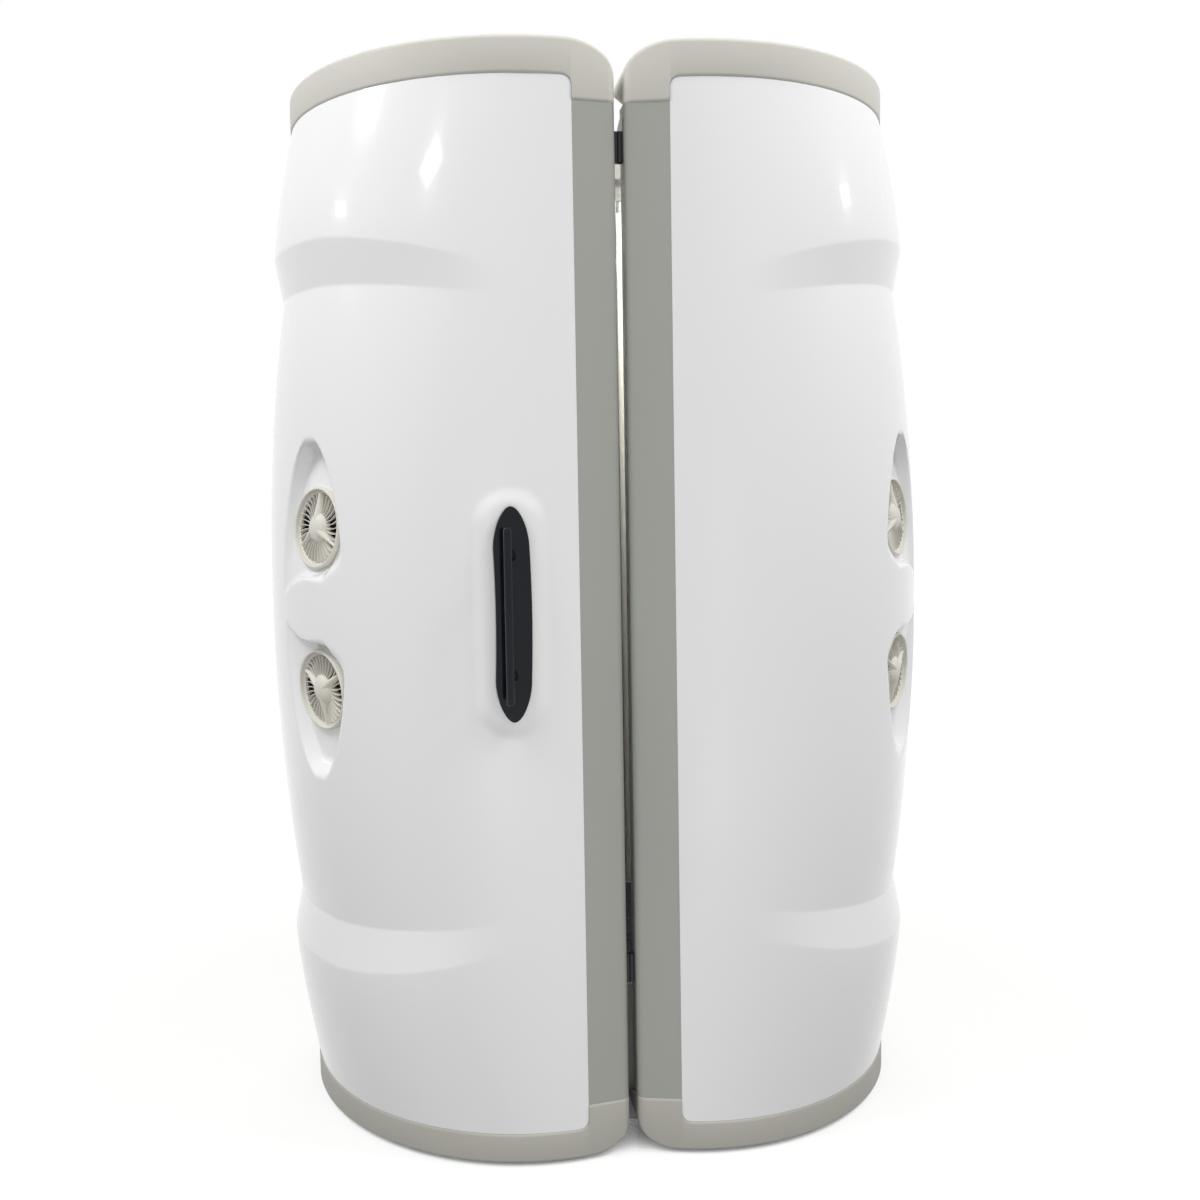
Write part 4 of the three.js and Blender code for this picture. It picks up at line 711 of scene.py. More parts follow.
def pad_height(t, z):
    """How much of the handle's raised pad is reached: a long pad with round ends."""
    along = (t - HANDLE_T) * HANDLE_SPEED
    past = np.maximum(np.abs(z - MIDDLE_Z) - (PAD_HALF_HEIGHT - PAD_HALF_WIDTH), 0)
    return smooth(1 - (np.hypot(along, past) - PAD_HALF_WIDTH) / PAD_RAMP)


def front_face(t, z, with_handle):
    face = barrel(t, z)
    for level in (1, -1):
        depth = scoop_depth(t, z) * (level * (z - MIDDLE_Z) > 0)
        face = mix(face, np.minimum(face, seat_offset(vent_seat(level), t, z)), depth)
    if with_handle:
        face = mix(face, seat_offset(handle_seat(), t, z), pad_height(t, z))
    return face


def rounded_face(t, z, face, reach):
    """The face averaged over a small patch, so that its edges are rounded."""
    taps = ((-1, 0.1), (-0.5, 0.2), (0, 0.4), (0.5, 0.2), (1, 0.1))
    speed = plan_speed(t)
    return sum(u * v * face(t + a * reach / speed, z + b * reach) for a, u in taps for b, v in taps)


def steps_along(start, end, pitch):
    """Values of t from start to end, spaced along the plan curve by pitch at each place."""
    fine = np.linspace(start, end, 2000)
    count = np.concatenate([[0], np.cumsum(np.diff(fine) * plan_speed(fine[:-1]) / pitch(fine[:-1]))])
    return np.interp(np.linspace(0, count[-1], int(math.ceil(count[-1])) + 1), count, fine)


# Rows of a shell at each edge of a band, and between the scoops, the bands' edges and the shell's end
EDGE_ROWS, EDGE_SPREAD = 7, 1.6
BELLY_ROWS, BAND_ROWS, FLANK_ROWS = 14, 8, 14


def shell_rows(t, rises, reach):
    """Heights of a shell's rows in each column. They follow the band's edges and the rounded corners."""
    inner, outer = band_edges(t)
    from_post = np.minimum(t - POST_T, math.pi - POST_T - t) * plan_speed(POST_T)
    run = np.maximum(0, EAR_CORNER - from_post)
    corner = EAR_CORNER - np.sqrt(EAR_CORNER**2 - run**2)
    ease = np.linspace(-1, 1, EDGE_ROWS) * EDGE_SPREAD * reach
    sides = []
    for end in (SHELL_TOP - MIDDLE_Z - corner, MIDDLE_Z - SHELL_BOTTOM - corner):
        rows = [np.full_like(t, rise) for rise in rises]
        rows += [mix(rises[-1], inner + ease[0], k / BELLY_ROWS) for k in range(1, BELLY_ROWS)]
        rows += [inner + e for e in ease]
        rows += [mix(inner + ease[-1], outer + ease[0], k / BAND_ROWS) for k in range(1, BAND_ROWS)]
        rows += [outer + e for e in ease]
        rows += [mix(outer + ease[-1], end, k / FLANK_ROWS) for k in range(1, FLANK_ROWS + 1)]
        sides.append(np.stack(rows, 1))
    return np.concatenate([MIDDLE_Z - sides[1][:, ::-1], MIDDLE_Z + sides[0]], 1)


def eased_in(values, limit, reach):
    """Values that reach past the limit, with their outermost stretch drawn in up to it."""
    start = limit - BOX_EASE
    over = np.maximum(np.abs(values) - start, 0)
    drawn = min(1, BOX_EASE / max(reach - start, BOX_EASE))
    return values - np.sign(values) * over * (1 - drawn)


def shell_grids(t, z, face, reach, node):
    """Outer and inner faces of a shell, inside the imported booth's box."""
    wide = np.repeat(t[:, None], z.shape[1], 1)
    out = rounded_face(wide, z, face, reach)
    low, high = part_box(node)
    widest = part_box("fixed_front_shell")[1].x
    grids = []
    for depth in (0, SHELL_WALL):
        x, y = plan_point(wide, out - depth)
        x = eased_in(x, widest / MM - depth, SIDE_REACH - depth)
        y = eased_in(y, max(-low.y, high.y) / MM - depth, float(np.abs(y).max()))
        grids.append(np.stack([x, y, z], -1))
    return grids


# Spacing of a shell's mesh away from its forms, and how far the finer mesh reaches past a form
PLAIN_STEP, CORNER_STEP, SCOOP_STEP, REAR_ROWS = 13.0, 3.0, 0.8, 20
SCOOP_MARGIN, PAD_MARGIN, ROW_MARGIN = 8, 4, 12
# How far from its seat a shell counts as the vent's
VENT_REACH = 30


def cut_vent(outer, inner, level):
    """Opens a vent's round hole in the two faces of a shell and says which of their cells are gone."""
    seat = vent_seat(level)
    local = placed((outer.reshape(-1, 3), []), seat.inverted())[0].reshape(outer.shape)
    radius = np.hypot(local[..., 0], local[..., 1])
    inside = (radius < VENT_HOLE) & (np.abs(local[..., 2]) < VENT_REACH)
    gone = inside[:-1, :-1] | inside[1:, :-1] | inside[1:, 1:] | inside[:-1, 1:]
    touched = np.zeros_like(inside)
    for di in (0, 1):
        for dj in (0, 1):
            touched[di : di + gone.shape[0], dj : dj + gone.shape[1]] |= gone
    rim = touched & ~inside
    local[..., :2] *= np.where(rim, VENT_HOLE / np.maximum(radius, 1), 1)[..., None]
    for grid, depth in ((outer, 0), (inner, SHELL_WALL)):
        local[..., 2] = -depth
        back = placed((local.reshape(-1, 3), []), seat)[0].reshape(outer.shape)
        grid[rim] = back[rim]
    return gone


def front_shell(with_handle, sizes):
    """The front shell with its scoops, its vents' round holes and, on the door, the handle's pad."""
    reach = sizes.edge_round / MM
    fine = sizes.surface_step / MM
    sides = np.array([-1, 1])
    scoop = VENT_T + (SCOOP_SHIFT + sides * (SCOOP_WIDTH + SCOOP_MARGIN)) / VENT_SPEED
    pad = HANDLE_T + sides * (PAD_HALF_WIDTH + PAD_RAMP + PAD_MARGIN) / HANDLE_SPEED

    def pitch(t):
        near = (t > scoop[0]) & (t < scoop[1])
        handle = (t > pad[0]) & (t < pad[1]) & with_handle
        edge = t - POST_T < EAR_CORNER / plan_speed(POST_T)
        plain = np.where(edge, CORNER_STEP, PLAIN_STEP)
        return np.where(near, fine * SCOOP_STEP, np.where(handle, fine, plain))

    start = POST_T + SEAT_GAP / plan_speed(POST_T)
    t = steps_along(start, SPLIT_T - SEAT_GAP / 2 / plan_speed(SPLIT_T), pitch)
    z = shell_rows(t, list(np.arange(fine / 2, SCOOP_HEIGHT + ROW_MARGIN, fine)), reach)
    outer, inner = shell_grids(t, z, lambda a, b: front_face(a, b, with_handle), reach, "fixed_front_shell")
    keep = np.ones((z.shape[0] - 1, z.shape[1] - 1), bool)
    for level in (1, -1):
        keep &= ~cut_vent(outer, inner, level)
    return wall(outer, inner, keep)


def rear_shell(sizes):
    reach = sizes.edge_round / MM
    edge = math.pi - POST_T - SEAT_GAP / plan_speed(POST_T)
    start = SPLIT_T + SEAT_GAP / 2 / plan_speed(SPLIT_T)
    corner = math.pi - POST_T - EAR_CORNER / plan_speed(POST_T)
    t = steps_along(start, edge, lambda a: np.where(a > corner, CORNER_STEP, PLAIN_STEP))
    z = shell_rows(t, list(np.arange(REAR_ROWS / 2, SCOOP_HEIGHT, REAR_ROWS)), reach)
    return wall(*shell_grids(t, z, barrel, reach, "fixed_rear_shell"))


class BOOTH_OT_shells(bpy.types.Operator):
    """Moulded front and rear shells of both halves"""

    bl_idname = "booth.shells"
    bl_label = "Moulded shells"

    def execute(self, context):
        sizes = context.scene.booth_sizes
        rear = rear_shell(sizes)
        for name, mirrored, body in HALVES:
            front = front_shell(name == "door", sizes)
            piece(f"{name}_shell_front", front, "gloss_white", body, [f"{name}_front_shell"], mirrored)
            piece(f"{name}_shell_rear", rear, "gloss_white", body, [f"{name}_rear_shell"], mirrored)
        return {"FINISHED"}


# Rims and posts


def post_corner(offset, seam_x, steps):
    """The rounded seam edge of a post and its flat face, from the seam to the shell."""
    ex, ey = plan_point(POST_T, offset)
    nx, ny = plan_normal(POST_T)
    cx = seam_x + SEAM_RADIUS
    cy = ey + (-SEAM_RADIUS - (cx - ex) * nx) / ny
    turns = np.linspace(-math.pi, math.atan2(ny, nx), steps + 1)
    arc = np.stack([cx + SEAM_RADIUS * np.cos(turns), cy + SEAM_RADIUS * np.sin(turns)], -1)
    return arc, np.array([ex, ey]), cy


def rim_stations(offset, seam_x, ear):
    """Outline of a half from the front seam to the rear seam, with the drop of its lip: the ears."""
    arc, edge, _ = post_corner(offset, seam_x, 12)
    flat = [mix(arc[-1], edge, k / 10) for k in range(1, 11)]
    speed = plan_speed(POST_T, offset)
    front = [(*p, ear) for p in [*arc, *flat]]
    for d in (0.3, 0.8, 1.8, 3.2, 5, 7.4, 10.5, 14.5, 20):
        drop = EAR_CORNER - math.sqrt(EAR_CORNER**2 - (EAR_CORNER - d) ** 2)
        front.append((*plan_point(POST_T + d / speed, offset), drop))
    first = POST_T + EAR_CORNER / speed
    for t in np.linspace(first, math.pi / 2, 56)[1:-1]:
        front.append((*plan_point(t, offset), 0))
    side = (*plan_point(math.pi / 2, offset), 0)
    return np.array([*front, side, *[(x, -y, drop) for x, y, drop in reversed(front)]])


@dataclass
class Rim:
    """A hollow half ring: heights of its face, its lip and its foot at the cabin, then its details."""

    face: float
    straight: float
    foot: float
    ear: float
    fillet: float
    notch: tuple
    lip: float


# The least lip and fillet on a rim's inner side, and the rounding of a rim's edge at the cabin
INNER_LIP, INNER_FILLET = 0.01, 1
CABIN_EDGE = 3


def rim_surface(rim, inward):
    """Sections of a rim, moved inward by its wall or not, from its lip over its face to the cabin."""
    way = math.copysign(1, rim.face - rim.straight)
    face = rim.face - way * inward
    seam_x, radius = SEAM_X + inward, RIM_INNER_RADIUS + inward
    width, height = (size - inward for size in rim.notch)
    fillet = max(rim.fillet - inward, INNER_FILLET)
    lip = INNER_LIP if inward else rim.lip
    edge_x, edge_y = plan_point(POST_T)
    edge_inner = radius * math.cos(math.atan2(edge_y, edge_x))
    turns = np.linspace(0, math.pi / 2, 7)
    sections = []
    for x, y, drop in rim_stations(RIM_PROUD - inward, seam_x, rim.ear):
        in_post = x < edge_x and abs(y) > HALF_DEPTH / 2
        share = (x - seam_x) / (edge_x - seam_x)
        qx = mix(seam_x, edge_inner, share) if in_post else radius * math.cos(math.atan2(y, x))
        qy = math.copysign(math.sqrt(radius**2 - qx**2), y)
        start, end = np.array([x, y]), np.array([qx, qy])
        reach = np.linalg.norm(end - start)
        into = (end - start) / reach

        def at(d, sink, z=None):
            px, py = start + into * d
            u = min(max((width - (px - seam_x)) / width, 0), 1)
            top = face - way * height * (1 - math.sqrt(max(0, 1 - u * u)))
            return px, py, (top - way * sink if z is None else z)

        low = rim.straight - way * drop
        points = [at(lip * d, 0, low + way * lip * rise) for d, rise in ((1, 0), (0.3, 0.6), (0, 1.8))]
        points += [at(fillet * (1 - math.cos(a)), fillet * (1 - math.sin(a))) for a in turns]
        points += [at(mix(fillet, reach - CABIN_EDGE, s), 0) for s in (0.1, 0.4, 0.7, 1)]
        points += [at(reach - 0.3 * CABIN_EDGE, 0.3 * CABIN_EDGE), at(reach, CABIN_EDGE)]
        bottom = points[-1][2] - way * CABIN_EDGE / 2
        points.append(at(reach, 0, min(way * rim.foot, way * bottom) * way))
        sections.append(points)
    return np.array(sections)


def rim_shape(rim):
    """A rim with its wall: the top cap and, upside down, the base pan. Its ends at the seam are flat."""
    outer, inner = rim_surface(rim, 0), rim_surface(rim, RIM_WALL)
    points, faces = wall(outer, inner)
    columns, rows = outer.shape[:2]
    far = columns * rows
    seam = (0, far - rows)
    ends = [[first + k for k in range(rows)] for first in (*seam, far, 2 * far - rows)]
    strips = [[first, first + rows - 1, far + first + rows - 1, far + first] for first in seam]
    open_edges = {frozenset((k, k + 1)) for first in seam for k in range(first, first + rows - 1)}
    faces = [face for face in faces if not (frozenset(face[:2]) in open_edges and face[2] >= far)]
    return points, faces + ends + strips


def post_outline():
    """Plan of a folded post: a flat face, a rounded seam edge, a return and a hem."""
    arc, edge, arc_y = post_corner(0, SEAM_X, 14)
    inner_x = SEAM_X + POST_WALL
    inner_arc, _, inner_y = post_corner(-POST_WALL, inner_x, 14)
    nx, ny = plan_normal(POST_T)
    normal, fold = np.array([nx, ny]), np.array([ny, -nx]) * POST_WALL
    hem = [edge - normal * POST_HEM, edge - normal * POST_HEM + fold, edge - normal * POST_WALL + fold]
    outer = [(SEAM_X, arc_y + POST_RETURN), *arc, edge]
    inner = [(inner_x, inner_y + POST_RETURN), *inner_arc]
    return np.array([*outer, *hem, *reversed(inner)], float)


class BOOTH_OT_rims(bpy.types.Operator):
    """Top caps, base pans and posts of both halves"""

    bl_idname = "booth.rims"
    bl_label = "Caps, pans and posts"

    def execute(self, context):
        sizes = context.scene.booth_sizes
        lip = sizes.lip_round / MM
        cap_foot, pan_foot = INNER_TOP + RIM_FOOT, INNER_BOTTOM - RIM_FOOT
        cap_fillet, pan_fillet = sizes.cap_fillet / MM, sizes.pan_fillet / MM
        cap = Rim(CAP_TOP, CAP_TOP - CAP_HEIGHT, cap_foot, CAP_EAR, cap_fillet, CAP_NOTCH, lip)
        pan = Rim(FLOOR_GAP, FLOOR_GAP + PAN_HEIGHT, pan_foot, PAN_EAR, pan_fillet, PAN_NOTCH, lip)
        post = prism(post_outline(), POST_LOW, POST_HIGH)
        rear = (post[0] * (1, -1, 1), post[1])
        on_halves(
            ("cap", rim_shape(cap), "warm_grey", "top_cap"),
            ("pan", rim_shape(pan), "pan_grey", "base_pan"),
            ("post_front", post, "post_grey", "front_post"),
            ("post_rear", rear, "post_grey", "rear_post"),
        )
        return {"FINISHED"}


# Vents, about the seat's axis, with the seat face at z = 0

GRILLE_REACH, GRILLE_BACK = 72.6, -4
SPOKE_ROOT, SPOKE_HALVES, SPOKE_CRESTS = 8, (15, 4), (16.6, 6.4)
VANE_ROOT, VANE_FRONT, VANE_SWEEP = 30, 5.2, 3.2
BLADE_ROOT, BLADE_REACH, BLADE_Z = 24.5, 64.4, -24.3
BLADE_PITCHES, BLADE_CHORDS, BLADE_CAMBER, BLADE_HALF = (50, 62), (26, 27), 2.4, 1.4


def bezel_shape():
    """A ring with a rounded crest and a low ledge inside it."""
    foot = [(73, SEAT_GAP), (85.4, SEAT_GAP), (BEZEL_RADIUS, 1), (BEZEL_RADIUS, 6)]
    crest = [(85.4, 8.3), (84.2, 10), (82.4, 11), (80.8, 10.8), (79.6, 9.6), (78.9, 7.6), (78.3, 4)]
    ledge = [(77.4, 2.4), (76, 1.7), (73, 1.4)]
    return turned([*foot, *crest, *ledge], 96, ring=True)


def spoke_shape():
    """A spoke that flows out of the hub's dome and narrows to the bezel."""
    s = np.linspace(-1, 1, 13)
    arch = np.sqrt(np.maximum(0, 1 - s**2))
    sections = []
    for r in np.linspace(SPOKE_ROOT, GRILLE_REACH, 14):
        share = (r - SPOKE_ROOT) / (GRILLE_REACH - SPOKE_ROOT)
        half = mix(*SPOKE_HALVES, share**0.7)
        crest = mix(*SPOKE_CRESTS, smooth(share))
        height = GRILLE_BACK + (crest - GRILLE_BACK) * arch
        sections.append(np.stack([np.full_like(s, r), half * s, height], -1))
    return loft(sections)


def vane_shape(sizes):
    """A thin leaning vane with a slight sweep."""
    half = sizes.vane_thickness / MM / 2
    lean = math.tan(sizes.vane_lean)
    corners = ((-half, GRILLE_BACK), (half, GRILLE_BACK), (half, VANE_FRONT), (-half, VANE_FRONT))
    sections = []
    for r in np.linspace(VANE_ROOT, GRILLE_REACH, 7):
        sweep = VANE_SWEEP * math.sin(math.pi * (r - VANE_ROOT) / (GRILLE_REACH - VANE_ROOT))
        sections.append([(r, sweep + side + lean * z, z) for side, z in corners])
    return loft(sections)


def grille_shape(level, sizes):
    """A domed hub with three spokes and a ring of vanes between them."""
    dome = [(0, 17.6), (7, 17.3), (14, 16.2), (21, 13.8), (27, 10.2), (31.4, 5.4), (33.6, 0)]
    hub = turned([*dome, (33.8, GRILLE_BACK), (0, GRILLE_BACK)], 64)
    start = level * math.pi / 2
    count = sizes.vane_count
    vanes = ring_of(vane_shape(sizes), "vent_cream", count, start, skip=count // 3)
    spokes = ring_of(spoke_shape(), "vent_cream", 3, start)
    return merged(hub, spokes, vanes)


def rotor_shape():
    """A cup that turns round the motor, with five twisted blades."""
    crown = [(0, -11.8), (22, -11.8), (25, -12.8), (26, -15), (26, -36.8)]
    cup = turned([*crown, (16.6, -36.8), (16.6, -23.5), (0, -23.5)], 40)
    sections = []
    for r in np.linspace(BLADE_ROOT, BLADE_REACH, 9):
        share = (r - BLADE_ROOT) / (BLADE_REACH - BLADE_ROOT)
        pitch = math.radians(mix(*BLADE_PITCHES, share))
        chord = mix(*BLADE_CHORDS, share)
        section = []
        for k, s in enumerate((-1, -0.5, 0, 0.5, 1, 0.5, 0, -0.5)):
            half = BLADE_HALF if k < 5 else -BLADE_HALF
            u, v = chord / 2 * s, (half + BLADE_CAMBER) * (1 - s * s)
            y = u * math.sin(pitch) + v * math.cos(pitch)
            z = BLADE_Z + u * math.cos(pitch) - v * math.sin(pitch)
            section.append((math.sqrt(max(r * r - y * y, 1)), y, z))
        sections.append(section)
    return merged(cup, ring_of(loft(sections), "black_plastic", 5))


class BOOTH_OT_vents(bpy.types.Operator):
    """Bezels, grilles and fans of the four vents"""

    bl_idname = "booth.vents"
    bl_label = "Vents"

    def execute(self, context):
        sizes = context.scene.booth_sizes
        bezel, rotor = bezel_shape(), rotor_shape()
        grilles = {level: grille_shape(level, sizes) for level in (1, -1)}
        for name, mirrored, body in HALVES:
            for place, level in (("upper", 1), ("lower", -1)):
                seat = vent_seat(level)
                node = f"{name}_{place}_vent"
                for part, shape, slot, carrier in (
                    ("bezel", bezel, "vent_cream", body),
                    ("grille", grilles[level], "vent_cream", body),
                    ("fan_rotor", rotor, "black_plastic", f"{name}_{place}_fan"),
                ):
                    fine = placed(shape, seat)
                    piece(f"{node}_{part}_fine", fine, slot, carrier, [f"{node}_{part}"], mirrored)
                dress(f"{node}_fan_frame", "black_plastic")
        return {"FINISHED"}


# Handle, on the pad's face: +X away from the seam, +Y up, +Z out

HANDLE_HALF, HANDLE_TIP, HANDLE_SHOULDER, HANDLE_BOW, HANDLE_ROUND = 36, 213, 129, 5.6, 0.45
HANDLE_TOP, HANDLE_EDGE = 7.3, 2.3
BAR_RADIUS, BAR_HALF, BAR_DOME, BAR_SHIFT, BAR_STANDOFF = 8, 173, 6, 14, 42
ARM_X, ARM_Y, ARM_Z, ARM_SHORT = 0.4, 118, 8.6, 4


def bezier(points, steps):
    """Points along a curve that the given points guide, without its end."""
    s = np.linspace(0, 1, steps, endpoint=False)[:, None]
    points = np.asarray(points, float)
    last = len(points) - 1
    return sum(math.comb(last, k) * s**k * (1 - s) ** (last - k) * p for k, p in enumerate(points))


def handle_outline():
    """A long plate with round tips, its sides bowed towards the seam."""
    half, tip, shoulder = HANDLE_HALF, HANDLE_TIP, HANDLE_SHOULDER
    near, mid = half * HANDLE_ROUND, (tip + shoulder) / 2
    curves = []
    for s in (1, -1):
        x, y = s * half, s * shoulder
        curves.append([(0, -s * tip), (s * near, -s * tip), (x, -s * mid), (x, -y)])
        curves.append([(x, -y), (x - HANDLE_BOW, 0), (x, y)])
        curves.append([(x, y), (x, s * mid), (s * near, s * tip), (0, s * tip)])
    return np.concatenate([bezier(points, 16) for points in curves])


def handle_bar_shape():
    """A round bar on two leaning arms."""
    core, straight = BAR_RADIUS - BAR_DOME, BAR_HALF - BAR_DOME
    turns = np.linspace(0, math.pi / 2, 7)
    end = [(core + BAR_DOME * math.sin(a), straight + BAR_DOME * math.cos(a)) for a in turns]
    profile = [(0, BAR_HALF), *end, *[(r, -y) for r, y in reversed(end)], (0, -BAR_HALF)]
    rod = turned_by(turned(profile, 32), 90, "X")
    rod = moved(rod, BAR_SHIFT, 0, HANDLE_TOP + SEAT_GAP + BAR_STANDOFF)
    top = math.hypot(BAR_SHIFT, BAR_STANDOFF) - ARM_SHORT
    flare = [(0, 0.4), (12, 0.4), (11.6, 1.6), (9.8, 3.6), (8.8, 7), (8.4, 12)]
    arm = turned([*flare, (7.6, top), (0, top)], 28)
    arm = turned_by(arm, math.degrees(math.atan2(BAR_SHIFT, BAR_STANDOFF)), "Y")
    arms = [moved(arm, ARM_X, side * ARM_Y, ARM_Z) for side in (1, -1)]
    return merged(rod, *arms)


class BOOTH_OT_handle(bpy.types.Operator):
    """Plate and bar of the door's handle"""

    bl_idname = "booth.handle"
    bl_label = "Handle"

    def execute(self, context):
        seat = handle_seat()
        plate = prism(handle_outline(), SEAT_GAP, HANDLE_TOP, HANDLE_EDGE, both=False, steps=5)
        for node, shape in (("handle_plate", plate), ("handle_bar", handle_bar_shape())):
            piece(f"{node}_fine", placed(shape, seat), "handle_dark", "door", [node], True)
        return {"FINISHED"}


# Lamps and inner fittings

LAMP_CIRCLE, LAMP_COUNT, LAMP_SPAN, LAMP_CAP = 462, 15, 142, 34
RAIL_HEIGHT, RAIL_EDGE = 50, 2
# Arc walls: radius, thickness, half span in degrees and flange
RAIL_ARC = (439, 46, 74, 0)
REFLECTOR_ARC = (490, 1.5, 75.5, 53)
SCREEN_ARC = (430, 4, 75, 0)
ARC_STEPS = 60
PLATFORM_RADIUS, PLATFORM_TOP, PLATFORM_WALL, ACCESS_RADIUS = 415, 310, 4, 60
MAT_RADIUS, MAT_THICKNESS, STUD_FIELD, STUD_LIFT = 385, 5, 372, 0.1
FOOT_X, FOOT_Y = 560, 210


def arc_outline(radius, thickness, span, flange):
    """A thin arc wall round the cabin, with its ends folded in by a flange."""
    span = math.radians(span)
    thin = thickness / radius
    out = np.linspace(-span, span, ARC_STEPS + 1)
    back = np.linspace(span - thin, -span + thin, ARC_STEPS + 1)
    outside = np.stack([np.cos(out), np.sin(out)], -1) * (radius + thickness)
    inside = np.stack([np.cos(back), np.sin(back)], -1) * radius
    if not flange:
        return np.concatenate([outside, inside])
    tip = radius - flange

    def at(a):
        return np.array([[tip * math.cos(a), tip * math.sin(a)]])

    return np.concatenate([at(-span), outside, at(span), at(span - thin), inside, at(-span + thin)])


def lamp_ring(profile, slot):
    """The lamps' pieces round the cabin, from one profile at the lamp's place."""
    step = math.radians(LAMP_SPAN / (LAMP_COUNT - 1))
    lamp = moved(turned(profile, 24), LAMP_CIRCLE, 0, 0)
    return ring_of(lamp, slot, LAMP_COUNT, math.radians(-LAMP_SPAN / 2) - step, step)


class BOOTH_OT_lamps(bpy.types.Operator):
    """Lamps, lampholder rails, reflectors and clear screens of both halves"""

    bl_idname = "booth.lamps"
    bl_label = "Lamps and screens"

    def execute(self, context):
        low, high = INNER_BOTTOM + RAIL_HEIGHT + SEAT_GAP, INNER_TOP - RAIL_HEIGHT - SEAT_GAP
        foot, head = low + LAMP_CAP, high - LAMP_CAP
        tube = [(0, foot), (18.2, foot), (18.9, foot + 4), (18.9, head - 4), (18.2, head), (0, head)]
        cap_end = LAMP_CAP - SEAT_GAP
        cap = ((0, 0), (9, 0), (9, 6), (17.6, 6), (19, 8), (19, cap_end), (0, cap_end))
        ends = []
        for z, way in ((low, 1), (high, -1)):
            ends.append(lamp_ring([(r, z + way * rise) for r, rise in cap], "hinge_steel"))
        rail = arc_outline(*RAIL_ARC)
        bottoms = (INNER_BOTTOM, INNER_TOP - RAIL_HEIGHT)
        rails = merged(*[prism(rail, z, z + RAIL_HEIGHT, RAIL_EDGE) for z in bottoms])
        reflector = prism(arc_outline(*REFLECTOR_ARC), INNER_BOTTOM, INNER_TOP)
        screen = prism(arc_outline(*SCREEN_ARC), INNER_BOTTOM, INNER_TOP)
        on_halves(
            ("lamp_tubes", lamp_ring(tube, "lamp_glass"), "lamp_glass", "lamp_bank"),
            ("lamp_ends", merged(*ends), "hinge_steel", None),
            ("lamp_rails", rails, "vent_cream", None),
            ("mirror", reflector, "mirror_sheet", "reflector"),
            ("screen", screen, "clear_acrylic", "acrylic_screen"),
        )
        for half, _, _ in HALVES:
            dress(f"{half}_frame", "frame_grey")
            dress(f"{half}_ballast_box", "frame_grey")
        return {"FINISHED"}


class BOOTH_OT_platform(bpy.types.Operator):
    """Standing platform, studded mat and glide feet"""

    bl_idname = "booth.platform"
    bl_label = "Platform"

    def execute(self, context):
        sizes = context.scene.booth_sizes
        r, top, thick = PLATFORM_RADIUS, PLATFORM_TOP, PLATFORM_WALL
        skirt = [(0, 0), (r - 3, 0), (r, 3), (r, top - 10), (r - 1, top - 5.5), (r - 4, top - 2)]
        access = [(r - 8.5, top), (ACCESS_RADIUS, top), (ACCESS_RADIUS, top - thick), (r - 12, top - thick)]
        lining = [(r - 6, top - 7), (r - thick, top - 12), (r - thick, thick), (0, thick)]
        drum = turned([*skirt, *access, *lining], 128)
        piece("platform_drum", drum, "platform_grey", "booth", ["floor_platform"])
        r, low = MAT_RADIUS, PLATFORM_TOP + SEAT_GAP
        high = low + MAT_THICKNESS
        edge = [(r - 1, low), (r, low + 0.7), (r, high - 1.7), (r - 1.4, high - 0.3), (r - 4, high)]
        mat = turned([(0, low), *edge, (0, high)], 128)
        height = sizes.stud_height / MM
        stud = turned([(6.6, 0), (6, height * 0.6), (4.8, height), (0, height)], 10)
        studs = copies(stud, FIELD, "mat_rubber", Radius=STUD_FIELD * MM, Pitch=sizes.stud_pitch)
        piece("mat_disc", mat, "mat_rubber", "booth", ["floor_mat"])
        piece("mat_studs", moved(studs, 0, 0, high + STUD_LIFT), "mat_rubber", "booth")
        tread = [(0, 0), (21, 0), (23.6, 0.6), (25, 2.2), (25, 6.6), (24, 8)]
        foot = turned([*tread, (15, 8.6), (14, 9.7), (0, 9.7)], 40)
        for name, side in (("rear_glide_foot", 1), ("front_glide_foot", -1)):
            piece(f"{name}_fine", moved(foot, FOOT_X, side * FOOT_Y, 0), "black_plastic", "booth", [name])
        return {"FINISHED"}


# Hinges, catches and controls

HINGE_Y = float(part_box("lower_hinge_pin")[0].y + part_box("lower_hinge_pin")[1].y) / 2 / MM
HINGE_LENGTH, LEAF_WIDTH, LEAF_THICKNESS, LEAF_START, LEAF_Y = 120, 62, 3, 13, -8.8
KNUCKLE_BORE, KNUCKLE_RADIUS, PIN_RADIUS = 5.5, 10, 5
SCREW_COUNT, SCREW_PITCH, SCREW_ROWS, SCREW_Y = 3, 42, (33, 59), -7.1
BRACKET_RISE = 26
CONSOLE_X, CONSOLE_HALF, CONSOLE_CORNER = 42, 28, 8
CONSOLE_BACK, CONSOLE_FRONT = -28.6, -148
CONSOLE_LOW, CONSOLE_HIGH, CONSOLE_EDGE = 1260, 1450, 2.2
BUTTONS = (("start", 1395, "start_green"), ("stop", 1315, "stop_red"))


def face_frame(x):
    """A place on a front post's flat face, and the face's turn in plan."""
    ex, ey = plan_point(POST_T)
    nx, ny = plan_normal(POST_T)
    ax, ay = -ny, nx
    run = (x - ex) / ax
    return ex + ax * run, ey + ay * run, math.atan2(ay, ax)


REAR_FACE_TURN = math.degrees(-face_frame(0)[2])


